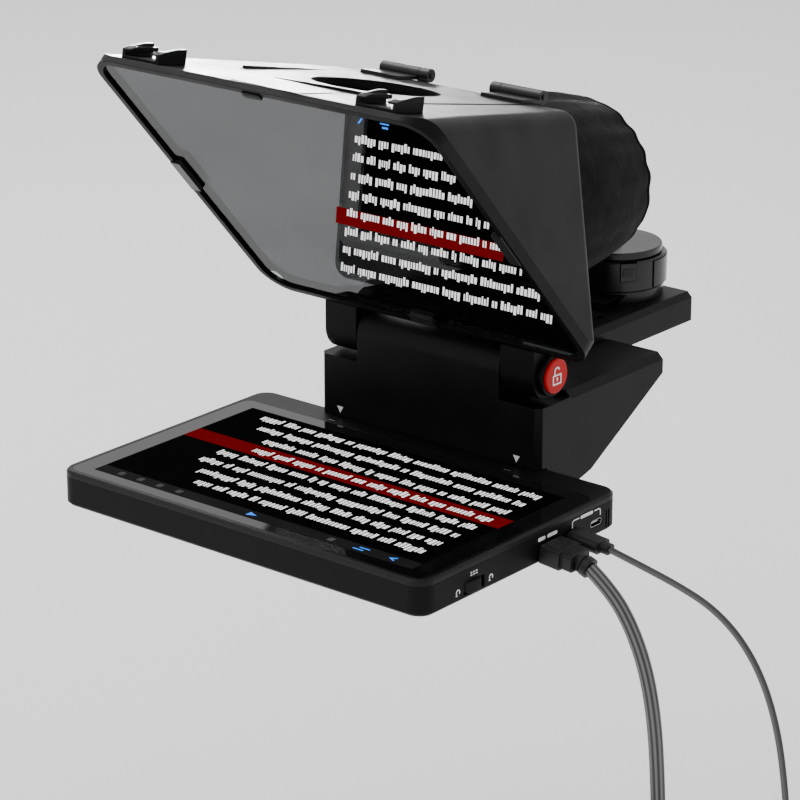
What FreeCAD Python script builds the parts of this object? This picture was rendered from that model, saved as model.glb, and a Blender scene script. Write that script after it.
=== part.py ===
import FreeCAD, Part
import math
import os
from types import SimpleNamespace

import Sketcher
from FreeCAD import Placement, Rotation, Vector

# Teleprompter. Millimetres, +Z up, -Y towards the person being filmed, +X the side with the
# ports. The origin is the mouth of the tripod thread, in the middle of the boss under the base.

DIMENSIONS = {
    # monitor
    "tray_half": 112.5,
    "tray_front": -167,
    "tray_back": -18.5,
    "tray_bottom": 2.7,
    "case_top": 17.5,
    "tray_top": 20.5,
    "tray_corner": 8.5,
    "tray_wall": 2.2,
    "glass_half": 109.3,
    "glass_front": -163.8,
    "glass_back": -35.2,
    "cover_glass": 1.1,
    "hdmi_place": -74,
    "usb_place": -56.5,
    "spare_place": -37.1,
    "hdmi_level": 7.6,
    "usb_level": 9.3,
    "dial_place": -130.1,
    "dial_centre": 107,
    "dial_radius": 7.6,
    # base
    "base_half": 68.9,
    "block_front": -25.2,
    "block_back": 0.5,
    "block_bottom": 20.8,
    "shoulder": 52,
    "hinge_block_half": 44.4,
    "axis_back": -12.4,
    "axis_level": 66,
    "barrel_radius": 12.8,
    "rod_radius": 3,
    "rod_bore": 3.05,
    "wedge_top": 54.3,
    "wedge_back": 77.6,
    "wedge_base": 6,
    "rail_half": 34,
    "rail_bottom": 45.2,
    "rail_top": 60.7,
    "boss_radius": 15,
    "thread_radius": 3.175,
    # hood
    "rim_half": 101.25,
    "rim_height": 189,
    "rim_depth": 5.8,
    "rim_corner": 16,
    "hood_wall": 2.4,
    "hood_back_half": 73.1,
    "mirror_glass": 2,
    "lens_hole": 40,
    "ring_radius": 46,
    "lug_start": 45.2,
    "lug_end": 65.2,
    "lug_radius": 12.6,
    "button_radius": 8.6,
    # lid
    "lid_half": 54,
    "lid_front": -106.4,
    "lid_back": -3,
    "lid_thick": 2.2,
    "lid_axis_back": 3.4,
    "lid_axis_up": 2.9,
    "knuckle_radius": 3.3,
    # shroud
    "shroud_wall": 2.5,
    # clamp
    "clamp_place": 131,
    "clamp_radius": 26.6,
    "lever_inner": 24.5,
    "lever_outer": 27.2,
    "plate_radius": 24.5,
    "screw_radius": 3.1,
    # cords
    "hdmi_cord": 3.5,
    "usb_cord": 1.6,
    "hdmi_turn": 38,
    "usb_turn": 17.6,
}

doc = FreeCAD.newDocument("Teleprompter")
sheet = doc.addObject("Spreadsheet::Sheet", "Dimensions")
for row, (alias, number) in enumerate(DIMENSIONS.items(), 1):
    sheet.set(f"A{row}", alias)
    sheet.set(f"B{row}", str(number))
    sheet.setAlias(f"B{row}", alias)
doc.recompute()


def value_of(size):
    return size.value if isinstance(size, Size) else float(size)


def formula_of(size):
    return size.formula if isinstance(size, Size) else f"({float(size):.5f})"


class Size:
    """A length that carries its value and the sheet formula that gives it."""

    def __init__(self, value, formula):
        self.value = value
        self.formula = formula

    def __add__(self, other):
        return Size(self.value + value_of(other), f"({self.formula} + {formula_of(other)})")

    def __sub__(self, other):
        return Size(self.value - value_of(other), f"({self.formula} - {formula_of(other)})")

    def __rsub__(self, other):
        return Size(value_of(other) - self.value, f"({formula_of(other)} - {self.formula})")

    def __mul__(self, number):
        return Size(self.value * number, f"({self.formula} * {number})")

    def __neg__(self):
        return Size(-self.value, f"(0 - {self.formula})")

    __radd__ = __add__
    __rmul__ = __mul__


d = SimpleNamespace(**{
    alias: Size(float(sheet.get(alias)), f"Dimensions.{alias}") for alias in DIMENSIONS
})

ALONG = {
    "x": Rotation(Vector(0, 1, 0), 90),
    "y": Rotation(Vector(1, 0, 0), -90),
    "z": Rotation(),
}
SIDES = ((-1, "left"), (1, "right"))
parts = []


def bind(thing, sizes):
    for name, size in sizes.items():
        thing.setExpression(name, formula_of(size))


def place(thing, base):
    bind(thing, dict(zip(("Placement.Base.x", "Placement.Base.y", "Placement.Base.z"), base)))
    return thing


def keep(thing, label, frame=None):
    """Name a finished sub-part, and set it in its frame."""
    thing.Label = label
    if frame is not None:
        thing.Placement = frame
    parts.append(thing)
    return thing


def sided(side, low, high):
    """A span from low to high on the right, and its mirror image on the left."""
    return (low, high) if side > 0 else (high * -1, low * -1)


def box(name, x, y, z):
    thing = doc.addObject("Part::Box", name)
    bind(thing, {"Length": x[1] - x[0], "Width": y[1] - y[0], "Height": z[1] - z[0]})
    return place(thing, (x[0], y[0], z[0]))


def cylinder(name, base, radius, height, along="z"):
    thing = doc.addObject("Part::Cylinder", name)
    thing.Placement = Placement(Vector(), ALONG[along])
    bind(thing, {"Radius": radius, "Height": height})
    return place(thing, base)


def cone(name, base, first, second, height, along="z"):
    thing = doc.addObject("Part::Cone", name)
    thing.Placement = Placement(Vector(), ALONG[along])
    bind(thing, {"Radius1": first, "Radius2": second, "Height": height})
    return place(thing, base)


def fuse(name, *pieces):
    thing = doc.addObject("Part::MultiFuse", name)
    thing.Shapes = list(pieces)
    thing.Refine = True
    return thing


def cut(name, base, *tools):
    thing = doc.addObject("Part::Cut", name)
    thing.Base = base
    thing.Tool = tools[0] if len(tools) == 1 else fuse(name + "_tools", *tools)
    return thing


def common(name, base, tool):
    thing = doc.addObject("Part::Common", name)
    thing.Base = base
    thing.Tool = tool
    return thing


def framed(thing, frame):
    """A finished tool or blank, set in a tilted frame."""
    holder = doc.addObject("Part::Compound", thing.Name + "_framed")
    holder.Links = [thing]
    holder.Placement = frame
    return holder


def origin_plane(body, role):
    return next(item for item in body.Origin.OriginFeatures if item.Role == role)


def outline(body, name, plane, points):
    """A closed sketch with straight sides, every corner dimensioned from the origin."""
    sketch = body.newObject("Sketcher::SketchObject", name)
    sketch.AttachmentSupport = [(origin_plane(body, plane), "")]
    sketch.MapMode = "FlatFace"
    corners = [Vector(value_of(across), value_of(up), 0) for across, up in points]
    for first, second in zip(corners, corners[1:] + corners[:1]):
        sketch.addGeometry(Part.LineSegment(first, second), False)
    count = len(points)
    for index in range(count):
        sketch.addConstraint(Sketcher.Constraint("Coincident", index, 2, (index + 1) % count, 1))
    for index, point in enumerate(points):
        for kind, size in zip(("DistanceX", "DistanceY"), point):
            number = sketch.addConstraint(
                Sketcher.Constraint(kind, -1, 1, index, 1, value_of(size))
            )
            sketch.setExpression(f"Constraints[{number}]", formula_of(size))
    return sketch


def prism(name, plane, points, start, end):
    """A straight-sided outline on a plane, padded from start to end along the third axis."""
    body = doc.addObject("PartDesign::Body", name)
    sketch = outline(body, name + "_outline", plane, points)
    offset = end * -1 if plane == "XZ_Plane" else start
    sketch.setExpression("AttachmentOffset.Base.z", formula_of(offset))
    pad = body.newObject("PartDesign::Pad", name + "_pad")
    pad.Profile = sketch
    bind(pad, {"Length": end - start})
    return body


def turned(name, points, base, along="z"):
    """A profile of (radius, height) points turned about the local Z axis."""
    body = doc.addObject("PartDesign::Body", name)
    sketch = outline(body, name + "_profile", "XZ_Plane", points)
    turn = body.newObject("PartDesign::Revolution", name + "_turn")
    turn.Profile = sketch
    turn.ReferenceAxis = (sketch, ["V_Axis"])
    turn.Angle = 360
    body.Placement = Placement(Vector(), ALONG[along])
    return place(body, base)


def rectangle(x, y):
    return [(x[0], y[0]), (x[1], y[0]), (x[1], y[1]), (x[0], y[1])]


def is_upright(edge):
    first, last = edge.Vertexes[0].Point, edge.Vertexes[-1].Point
    return abs(first.x - last.x) + abs(first.y - last.y) < 1e-6


def is_at_height(height):
    return lambda edge: abs(edge.BoundBox.ZMin - height) + abs(edge.BoundBox.ZMax - height) < 1e-6


def dress(body, kind, size, wanted):
    """Fillet or chamfer the edges of a body that pass the test."""
    doc.recompute()
    tip = body.Tip
    names = [f"Edge{n}" for n, edge in enumerate(tip.Shape.Edges, 1) if wanted(edge)]
    feature = body.newObject(f"PartDesign::{kind}", f"{body.Name}_{kind.lower()}")
    feature.Base = (tip, names)
    bind(feature, {"Radius" if kind == "Fillet" else "Size": size})
    return body


def slab(name, x, y, z, corner):
    """A plate with four rounded upright corners."""
    body = prism(name, "XY_Plane", rectangle(x, y), z[0], z[1])
    return dress(body, "Fillet", corner, is_upright)


def rounded(name, block, radius, wanted):
    """A primitive with some of its edges rounded."""
    doc.recompute()
    thing = doc.addObject("Part::Fillet", name)
    thing.Base = block
    edges = [n for n, edge in enumerate(block.Shape.Edges, 1) if wanted(edge)]
    thing.Edges = [(n, radius, radius) for n in edges]
    return thing


def runs_along_x(edge):
    box_of = edge.BoundBox
    return box_of.XLength > 1 and box_of.YLength + box_of.ZLength < 1e-6


def runs_along_z(edge):
    box_of = edge.BoundBox
    return box_of.ZLength > 1 and box_of.XLength + box_of.YLength < 1e-6


# ---------------------------------------------------------------- monitor

case_outer = slab(
    "case_outer", (-d.tray_half, d.tray_half), (d.tray_front, d.tray_back),
    (d.tray_bottom, d.case_top), d.tray_corner,
)
dress(case_outer, "Chamfer", 1.4, is_at_height(value_of(d.tray_bottom)))
case_hollow = slab(
    "case_hollow",
    (-d.tray_half + d.tray_wall, d.tray_half - d.tray_wall),
    (d.tray_front + d.tray_wall, d.tray_back - d.tray_wall),
    (d.tray_bottom + d.tray_wall, d.case_top + 1), d.tray_corner - d.tray_wall,
)
SCREWS = ((-104, -158), (104, -158), (-104, -26), (104, -26))
case_bosses = []
case_holes = []
for number, (across, along) in enumerate(SCREWS, 1):
    case_bosses.append(cylinder(
        f"case_boss_{number}", (across, along, d.tray_bottom + 2), 3.2, 7.3,
    ))
    case_holes.append(cylinder(
        f"case_counterbore_{number}", (across, along, d.tray_bottom - 0.1), 2.8, 1.3,
    ))
    case_holes.append(cylinder(
        f"case_screw_hole_{number}", (across, along, d.tray_bottom), 1.3, 8.8,
    ))
wall_span = (d.tray_half - d.tray_wall - 1, d.tray_half + 1)
case_holes.append(box(
    "hdmi_opening", wall_span, (d.hdmi_place - 5.9, d.hdmi_place + 5.9),
    (d.hdmi_level - 1.9, d.hdmi_level + 1.9),
))
for port, along in (("usb", d.usb_place), ("spare", d.spare_place)):
    blank = box(
        f"{port}_opening_blank", wall_span, (along - 4.75, along + 4.75),
        (d.usb_level - 1.9, d.usb_level + 1.9),
    )
    case_holes.append(rounded(f"{port}_opening", blank, 1.85, runs_along_x))
case_holes.append(box(
    "dial_slot", wall_span, (d.dial_place - 7.6, d.dial_place + 7.6), (5.1, 10.9),
))
for number, along in enumerate((-29.5, -27.5), 1):
    case_holes.append(box(f"case_vent_{number}", wall_span, (along - 0.5, along + 0.5), (5, 13.5)))
for side, word in SIDES:
    case_holes.append(box(
        f"tongue_slot_{word}", sided(side, 39.7, 50.3),
        (d.tray_back - d.tray_wall - 1, d.tray_back + 1), (7.7, 13.3),
    ))
case_open = cut("case_open", case_outer, case_hollow)
case_with_bosses = fuse("case_with_bosses", case_open, *case_bosses)
keep(cut("monitor_case", case_with_bosses, *case_holes), "monitor_case")

bezel_outer = slab(
    "bezel_outer", (-d.tray_half, d.tray_half), (d.tray_front, d.tray_back),
    (d.case_top, d.tray_top), d.tray_corner,
)
dress(bezel_outer, "Chamfer", 1.1, is_at_height(value_of(d.tray_top)))
bezel_recess = slab(
    "bezel_recess", (-d.glass_half - 0.15, d.glass_half + 0.15),
    (d.glass_front - 0.15, d.glass_back + 0.15),
    (d.tray_top - d.cover_glass - 0.1, d.tray_top + 1), 5.15,
)
bezel_window = slab(
    "bezel_window", (-d.glass_half + 2.8, d.glass_half - 2.8),
    (d.glass_front + 2.8, d.glass_back - 2.8), (d.case_top - 1, d.tray_top), 3,
)
rest_stop = box("rest_stop", (57, 63), (-31.2, -29.8), (d.tray_top - 0.2, d.tray_top + 0.1))
bezel_cut = cut("bezel_cut", bezel_outer, bezel_recess, bezel_window)
keep(fuse("monitor_bezel", bezel_cut, rest_stop), "monitor_bezel")
keep(slab(
    "screen_glass", (-d.glass_half, d.glass_half), (d.glass_front, d.glass_back),
    (d.tray_top - d.cover_glass - 0.05, d.tray_top - 0.05), 5,
), "screen_glass")
keep(box("lcd_panel", (-103, 103), (-158.5, -41), (14.5, 19.2)), "lcd_panel")

board_level = 11.2
keep(box("main_board", (20, 108), (-115, -30), (board_level, board_level + 1.6)), "main_board")

hdmi_shell = box(
    "hdmi_shell", (101, 112.2), (d.hdmi_place - 5.7, d.hdmi_place + 5.7),
    (d.hdmi_level - 1.7, d.hdmi_level + 1.7),
)
hdmi_shell_hole = box(
    "hdmi_shell_hole", (102, 113), (d.hdmi_place - 5.3, d.hdmi_place + 5.3),
    (d.hdmi_level - 1.3, d.hdmi_level + 1.3),
)
hdmi_legs = box(
    "hdmi_legs", (102, 108), (d.hdmi_place - 4, d.hdmi_place + 4),
    (d.hdmi_level + 1.5, board_level),
)
hdmi_shut = fuse("hdmi_shut", hdmi_shell, hdmi_legs)
keep(cut("mini_hdmi_socket", hdmi_shut, hdmi_shell_hole), "mini_hdmi_socket")

for node_name, along in (
    ("usb_c_socket_front", d.usb_place), ("usb_c_socket_rear", d.spare_place),
):
    shell_blank = box(
        node_name + "_blank", (104, 112.2), (along - 4.47, along + 4.47),
        (d.usb_level - 1.63, d.usb_level + 1.63),
    )
    shell = rounded(node_name + "_shell", shell_blank, 1.6, runs_along_x)
    hole_blank = box(
        node_name + "_hole_blank", (105, 113), (along - 4.17, along + 4.17),
        (d.usb_level - 1.33, d.usb_level + 1.33),
    )
    hole = rounded(node_name + "_hole", hole_blank, 1.3, runs_along_x)
    legs = box(
        node_name + "_legs", (104.5, 108), (along - 3, along + 3),
        (d.usb_level + 1.4, board_level),
    )
    shell_open = cut(node_name + "_open", fuse(node_name + "_shut", shell, legs), hole)
    if node_name.endswith("rear"):
        blade = box(
            node_name + "_blade", (104.5, 111), (along - 3.35, along + 3.35),
            (d.usb_level - 0.35, d.usb_level + 0.35),
        )
        shell_open = fuse(node_name + "_with_blade", shell_open, blade)
    keep(shell_open, node_name)

# scroll dial on a sliding carrier: it turns, and presses in on the encoder's switch
dial = turned(
    "scroll_dial",
    [(1.55, -2.6), (d.dial_radius - 0.5, -2.6), (d.dial_radius, -2.1),
     (d.dial_radius, 2.1), (d.dial_radius - 0.5, 2.6), (1.55, 2.6)],
    (d.dial_centre, d.dial_place, 8),
)
doc.recompute()
solid_dial = dial.Shape.Volume
groove_sketch = dial.newObject("Sketcher::SketchObject", "dial_groove_outline")
groove_sketch.AttachmentSupport = [(origin_plane(dial, "XY_Plane"), "")]
groove_sketch.MapMode = "FlatFace"
groove_sketch.addGeometry(Part.Circle(Vector(7.9, 0, 0), Vector(0, 0, 1), 0.6), False)
groove_sketch.addConstraint(Sketcher.Constraint("Radius", 0, 0.6))
groove_sketch.addConstraint(Sketcher.Constraint("PointOnObject", 0, 3, -1))
reach = groove_sketch.addConstraint(Sketcher.Constraint("DistanceX", -1, 1, 0, 3, 7.9))
groove_sketch.setExpression(f"Constraints[{reach}]", formula_of(d.dial_radius + 0.3))
groove = dial.newObject("PartDesign::Pocket", "dial_groove")
groove.Profile = groove_sketch
groove.Type = "Length"
groove.Midplane = True
groove.Length = 6
doc.recompute()
grooves = dial.newObject("PartDesign::PolarPattern", "dial_grooves")
grooves.Originals = [groove]
grooves.Axis = (groove_sketch, ["N_Axis"])
grooves.Angle = 360
grooves.Occurrences = 28
dial.Tip = grooves
doc.recompute()
assert 20 < solid_dial - dial.Shape.Volume < 140, "the dial's grooves are missing"
keep(dial, "scroll_dial")

carrier_pin = cylinder("carrier_pin", (d.dial_centre, d.dial_place, 5), 1.5, 6.2)
carrier_head = cylinder("carrier_head", (d.dial_centre, d.dial_place, 5), 2.6, 0.3)
carrier_plate = box(
    "carrier_plate", (98, 109.5), (d.dial_place - 5, d.dial_place + 5), (11, 12.4),
)
carrier_foot = box("carrier_foot", (98, 99), (d.dial_place - 3, d.dial_place + 3), (6, 11.2))
keep(fuse("dial_carrier", carrier_pin, carrier_head, carrier_plate, carrier_foot), "dial_carrier")
keep(box("dial_encoder", (91, 97), (d.dial_place - 5, d.dial_place + 5), (4.9, 13)),
     "dial_encoder")

for number, (across, along) in enumerate(SCREWS, 1):
    head = cylinder(f"case_screw_head_{number}", (across, along, 2.85), 2.6, 1.05)
    shank = cylinder(f"case_screw_shank_{number}", (across, along, 3.8), 1.25, 7)
    keep(fuse(f"case_screw_{number}", head, shank), f"case_screw_{number}")
for side, word in SIDES:
    foot_blank = box(f"foot_blank_{word}", sided(side, 60, 100), (-160, -150), (1.4, 2.7))
    keep(rounded(f"rubber_foot_{word}", foot_blank, 4, runs_along_z), f"rubber_foot_{word}")

# ---------------------------------------------------------------- base

block_body = prism(
    "block_body", "XY_Plane",
    [(-d.base_half, d.block_back), (-d.base_half, d.block_front + 3),
     (-d.base_half + 3, d.block_front), (d.base_half - 3, d.block_front),
     (d.base_half, d.block_front + 3), (d.base_half, d.block_back)],
    d.block_bottom, d.shoulder,
)
block_neck = box(
    "block_neck", (-d.hinge_block_half, d.hinge_block_half),
    (d.axis_back - d.barrel_radius, d.axis_back + d.barrel_radius), (d.shoulder - 1, d.axis_level),
)
block_barrel = cylinder(
    "block_barrel", (-d.hinge_block_half, d.axis_back, d.axis_level),
    d.barrel_radius, 2 * d.hinge_block_half, "x",
)
block_bore = cylinder(
    "block_bore", (-d.hinge_block_half - 1, d.axis_back, d.axis_level),
    d.rod_bore, 2 * d.hinge_block_half + 2, "x",
)
block_solid = fuse("block_solid", block_body, block_neck, block_barrel)
keep(cut("front_block", block_solid, block_bore), "front_block")
keep(cylinder(
    "hinge_rod", (-64, d.axis_back, d.axis_level), d.rod_radius, 64 + 55, "x",
), "hinge_rod")

wedge_body = prism(
    "wedge_body", "YZ_Plane",
    [(d.block_back, d.wedge_top - 3.4), (d.block_back, d.wedge_top),
     (d.wedge_back, d.wedge_top), (d.wedge_back, d.wedge_top - 10.5), (22.9, 12.4), (18, 9.6),
     (9, 7.3), (4, d.wedge_base), (-18.2, d.wedge_base), (-18.2, d.block_bottom),
     (d.block_back, d.block_bottom)],
    -d.base_half, d.base_half,
)


def is_wedge_shoulder(edge):
    span = edge.BoundBox
    return (
        span.YLength > 60 and abs(span.ZMin - d.wedge_top.value) < 1e-6
        and abs(abs(span.XMin) - d.base_half.value) < 1e-6
    )


dress(wedge_body, "Chamfer", 3.4, is_wedge_shoulder)
tripod_boss = cylinder("tripod_boss", (0, 0, 0), d.boss_radius, 10)
rail_channel = box(
    "rail_channel", (-d.rail_half - 0.5, d.rail_half + 0.5), (d.block_back - 1, 90),
    (d.rail_bottom - 0.3, 60),
)
rib_channel = box(
    "rib_channel", (-d.rail_half - 2.4, d.rail_half + 2.4), (d.block_back - 1, 90), (47.6, 50.4),
)
bracket_pocket = box("bracket_pocket", (-26.1, 26.1), (29.9, 90), (31.9, 46))
insert_hole = cylinder("insert_hole", (0, 0, -1), 5, 13.5)
wedge_hollows = [
    box(f"wedge_hollow_{word}", sided(side, 41, 64), (d.block_back - 1, 30), (28, 48))
    for side, word in SIDES
]
wedge_solid = fuse("wedge_solid", wedge_body, tripod_boss)
keep(cut(
    "wedge_shell", wedge_solid, rail_channel, rib_channel, bracket_pocket, insert_hole,
    *wedge_hollows,
), "wedge_shell")
insert_body = cylinder("insert_body", (0, 0, 0), 5, 12)
insert_thread = cylinder("insert_thread", (0, 0, -1), d.thread_radius, 12)
keep(cut("tripod_insert", insert_body, insert_thread), "tripod_insert")
keep(box("rail_bracket", (-26, 26), (30, 100), (32, d.rail_bottom - 0.5)), "rail_bracket")
for side, word in SIDES:
    keep(box(f"dock_tongue_{word}", sided(side, 40, 50), (-26, -18.2), (8, 13)),
         f"dock_tongue_{word}")

# ---------------------------------------------------------------- hood

# the glass lies in the local XY plane: Y runs up the slope, Z towards the viewer
GLASS_FRAME = Placement(Vector(0, -25.2, 80.45), Rotation(Vector(1, 0, 0), 131.8))
# the roof lies in the local XY plane: Y runs back down the slope, Z up
ROOF_FRAME = Placement(Vector(0, -2.7, 194.4), Rotation(Vector(1, 0, 0), -11.3))
# the back panel's outer face lies in the local XY plane: Y runs down, Z backwards
PANEL_FRAME = Placement(Vector(0, -12.56, 137), Rotation(Vector(1, 0, 0), -99.75))


def plane_through(first, second, third, inside):
    """A plane as a point and a unit normal that points away from a point inside."""
    normal = (second - first).cross(third - first).normalize()
    if normal.dot(inside - first) > 0:
        normal = normal * -1
    return first, normal


def meet(*planes):
    """The point where three planes meet."""
    (p, a), (q, b), (r, c) = planes
    whole = a.dot(b.cross(c))
    return (b.cross(c) * a.dot(p) + c.cross(a) * b.dot(q) + a.cross(b) * c.dot(r)) * (1 / whole)


def funnel(inset, front_depth, radius):
    """The tapering box behind the glass, its walls moved inwards, its long edges rounded."""
    half, back_half = d.rim_half.value, d.hood_back_half.value
    top = [Vector(side * half, -146.9, 223.2) for side in (-1, 1)]
    low = [Vector(side * half, -21.5, 85) for side in (-1, 1)]
    peak = [Vector(side * back_half, -2.7, 194.4) for side in (-1, 1)]
    inside = Vector(0, -50, 160)
    walls = [
        plane_through(top[0], top[1], peak[0], inside),
        plane_through(low[0], low[1], peak[0], inside),
        plane_through(top[0], low[0], peak[0], inside),
        plane_through(top[1], low[1], peak[1], inside),
    ]
    roof, panel, left, right = [(point - normal * inset, normal) for point, normal in walls]
    facing = GLASS_FRAME.Rotation.multVec(Vector(0, 0, 1))
    front = (GLASS_FRAME.Base - facing * front_depth, facing)
    corners = {
        "top_left": meet(roof, left, front), "top_right": meet(roof, right, front),
        "low_left": meet(panel, left, front), "low_right": meet(panel, right, front),
        "peak_left": meet(roof, panel, left), "peak_right": meet(roof, panel, right),
    }
    sides = [
        ("top_left", "top_right", "low_right", "low_left"),
        ("top_left", "top_right", "peak_right", "peak_left"),
        ("low_left", "low_right", "peak_right", "peak_left"),
        ("top_left", "low_left", "peak_left"),
        ("top_right", "low_right", "peak_right"),
    ]
    faces = []
    for names in sides:
        loop = [corners[name] for name in names]
        facing_out = (loop[1] - loop[0]).cross(loop[2] - loop[0])
        if facing_out.dot(inside - loop[0]) > 0:
            loop.reverse()
        faces.append(Part.Face(Part.makePolygon(loop + loop[:1])))
    shape = Part.Solid(Part.Shell(faces))
    long_edges = []
    for first, second in (
        ("top_left", "peak_left"), ("top_right", "peak_right"),
        ("low_left", "peak_left"), ("low_right", "peak_right"), ("peak_left", "peak_right"),
    ):
        middle = (corners[first] + corners[second]) * 0.5
        long_edges.append(min(
            shape.Edges, key=lambda edge: (edge.CenterOfMass - middle).Length
        ))
    return shape.makeFillet(radius, long_edges)


def lid_outline(margin):
    """The lid seen from above, its two front corners cut off, with a margin all round."""
    half = d.lid_half + margin
    front = d.lid_front - margin
    back = d.lid_back + margin
    return [
        (-half, back), (-half, front + 10), (-half + 12, front),
        (half - 12, front), (half, front + 10), (half, back),
    ]


funnel_outer = doc.addObject("Part::Feature", "funnel_outer")
funnel_outer.Shape = funnel(0, 3, 9)
funnel_inner = doc.addObject("Part::Feature", "funnel_inner")
funnel_inner.Shape = funnel(d.hood_wall.value, 3.4, 6.6)

rim_span = (-d.rim_half, d.rim_half)
rim_body = slab("rim_body", rim_span, (0, d.rim_height), (-d.rim_depth, 0), d.rim_corner)
rim_body.Placement = GLASS_FRAME
trim_body = slab("trim_body", rim_span, (0, d.rim_height), (-260, 0), d.rim_corner)
trim_body.Placement = GLASS_FRAME
glass_pocket = slab(
    "glass_pocket", (-99.5, 99.5), (1.75, d.rim_height - 1.75), (-3.5, -1.4), 13.7,
)
glass_pocket.Placement = GLASS_FRAME
glass_opening = slab(
    "glass_opening", (-98, 98), (3.2, d.rim_height - 3.2), (-2, 1), 13,
)
glass_opening.Placement = GLASS_FRAME
under_roof = framed(box("under_roof", (-150, 150), (-220, 60), (-300, 0)), ROOF_FRAME)
lid_window = framed(prism(
    "lid_window", "XY_Plane", lid_outline(0.3), -6, 4,
), ROOF_FRAME)
lens_hole = framed(cylinder("lens_hole", (0, 0, -12), d.lens_hole, 20), PANEL_FRAME)
funnel_trimmed = common("funnel_trimmed", funnel_outer, trim_body)
hood_block = common(
    "hood_block", fuse("hood_joined", rim_body, funnel_trimmed), under_roof,
)
keep(cut(
    "hood_shell", hood_block, funnel_inner, glass_pocket, glass_opening, lid_window, lens_hole,
), "hood_shell")
keep(slab(
    "beam_splitter", (-99.3, 99.3), (1.95, d.rim_height - 1.95),
    (-1.42 - d.mirror_glass, -1.42), 13.5,
), "beam_splitter", GLASS_FRAME)

CLIPS = {
    "top": ((-5.5, 5.5), (181.6, 187.4), (181.6, 185.7)),
    "bottom": ((-7, 7), (1.6, 7.4), (3.3, 7.4)),
    "left": ((-100.2, -94.4), (85.1, 107.4), None),
    "right": ((94.4, 100.2), (85.1, 107.4), None),
}
for word, (across, up, finger) in CLIPS.items():
    cap = box(f"clip_cap_{word}", across, up, (0.05, 0.9))
    if finger is None:
        inner = (-97.9, -94.4) if word == "left" else (94.4, 97.9)
        hook = box(f"clip_hook_{word}", inner, up, (-1.38, 0.1))
    else:
        hook = box(f"clip_hook_{word}", across, finger, (-1.38, 0.1))
    keep(fuse(f"glass_clip_{word}", cap, hook), f"glass_clip_{word}", GLASS_FRAME)

# hinge lugs: they swing with the hood about the rod
LUG_PROFILE = [
    (-25, 66), (-25, 80.1), (-20.75, 83.9), (-19.3, 92.4), (-14, 96), (0.2, 78), (0.2, 66),
]
for side, word in SIDES:
    span = sided(side, d.lug_start, d.lug_end)
    web = prism(f"lug_web_{word}", "YZ_Plane", LUG_PROFILE, span[0], span[1])
    disc = cylinder(
        f"lug_disc_{word}", (span[0], d.axis_back, d.axis_level), d.lug_radius,
        d.lug_end - d.lug_start, "x",
    )
    lug = fuse(f"lug_solid_{word}", web, disc)
    if side < 0:
        bore = [cylinder(
            "lug_bore_left", (-64.1, d.axis_back, d.axis_level), d.rod_bore, 30, "x",
        )]
    else:
        bore = [
            cylinder("lug_bore_right", (40, d.axis_back, d.axis_level), d.rod_bore, 20, "x"),
            cylinder("spring_well", (57, d.axis_back, d.axis_level), 7, 10, "x"),
            cylinder("button_well", (63.1, d.axis_back, d.axis_level), 8.9, 5, "x"),
        ]
    keep(cut(f"hinge_lug_{word}", lug, *bore), f"hinge_lug_{word}")

keep(turned(
    "button_collar", [(8.9, 0), (10.4, 0), (10.4, 2.6), (9.9, 3.2), (8.9, 3.2)],
    (d.lug_end, d.axis_back, d.axis_level), "x",
), "button_collar")
keep(turned(
    "lock_button",
    [(0, -7.2), (2.5, -7.2), (2.5, 0.7), (d.button_radius, 0.7), (d.button_radius, 4.1),
     (d.button_radius - 0.6, 4.6), (0, 4.6)],
    (d.lug_end, d.axis_back, d.axis_level), "x",
), "lock_button")

coil_path = Part.makeHelix(1.55, 7.75, 4.6)
coil_section = Part.Wire(Part.makeCircle(0.35, Vector(4.6, 0, 0), Vector(0, 1, 0)))
button_spring = doc.addObject("Part::Feature", "button_spring")
button_spring.Shape = Part.Wire(coil_path).makePipeShell([coil_section], True, True)
keep(button_spring, "button_spring", Placement(
    Vector(57.5, d.axis_back.value, d.axis_level.value), ALONG["x"],
))

# cold shoes on the roof: two walls with inward lips on a thin plate
for side, word in SIDES:
    centre = 70 * side
    base_plate = box(f"shoe_plate_{word}", (centre - 11.3, centre + 11.3), (-147.6, -128.8),
                     (0.02, 1.4))
    shoe_pieces = [base_plate]
    for hand in (-1, 1):
        wall_x = sorted((centre + hand * 9.35, centre + hand * 11.3))
        lip_x = sorted((centre + hand * 6.4, centre + hand * 11.3))
        shoe_pieces.append(prism(
            f"shoe_wall_{word}_{hand + 1}", "YZ_Plane",
            [(-147.6, 0.5), (-147.6, 4.4), (-143, 5.6), (-134, 7.2), (-128.8, 7.2), (-128.8, 0.5)],
            wall_x[0], wall_x[1],
        ))
        shoe_pieces.append(prism(
            f"shoe_lip_{word}_{hand + 1}", "YZ_Plane",
            [(-147.6, 3.6), (-147.6, 4.4), (-143, 5.6), (-128.8, 5.6), (-128.8, 3.6)],
            lip_x[0], lip_x[1],
        ))
    keep(fuse(f"cold_shoe_{word}", *shoe_pieces), f"cold_shoe_{word}", ROOF_FRAME)

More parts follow.
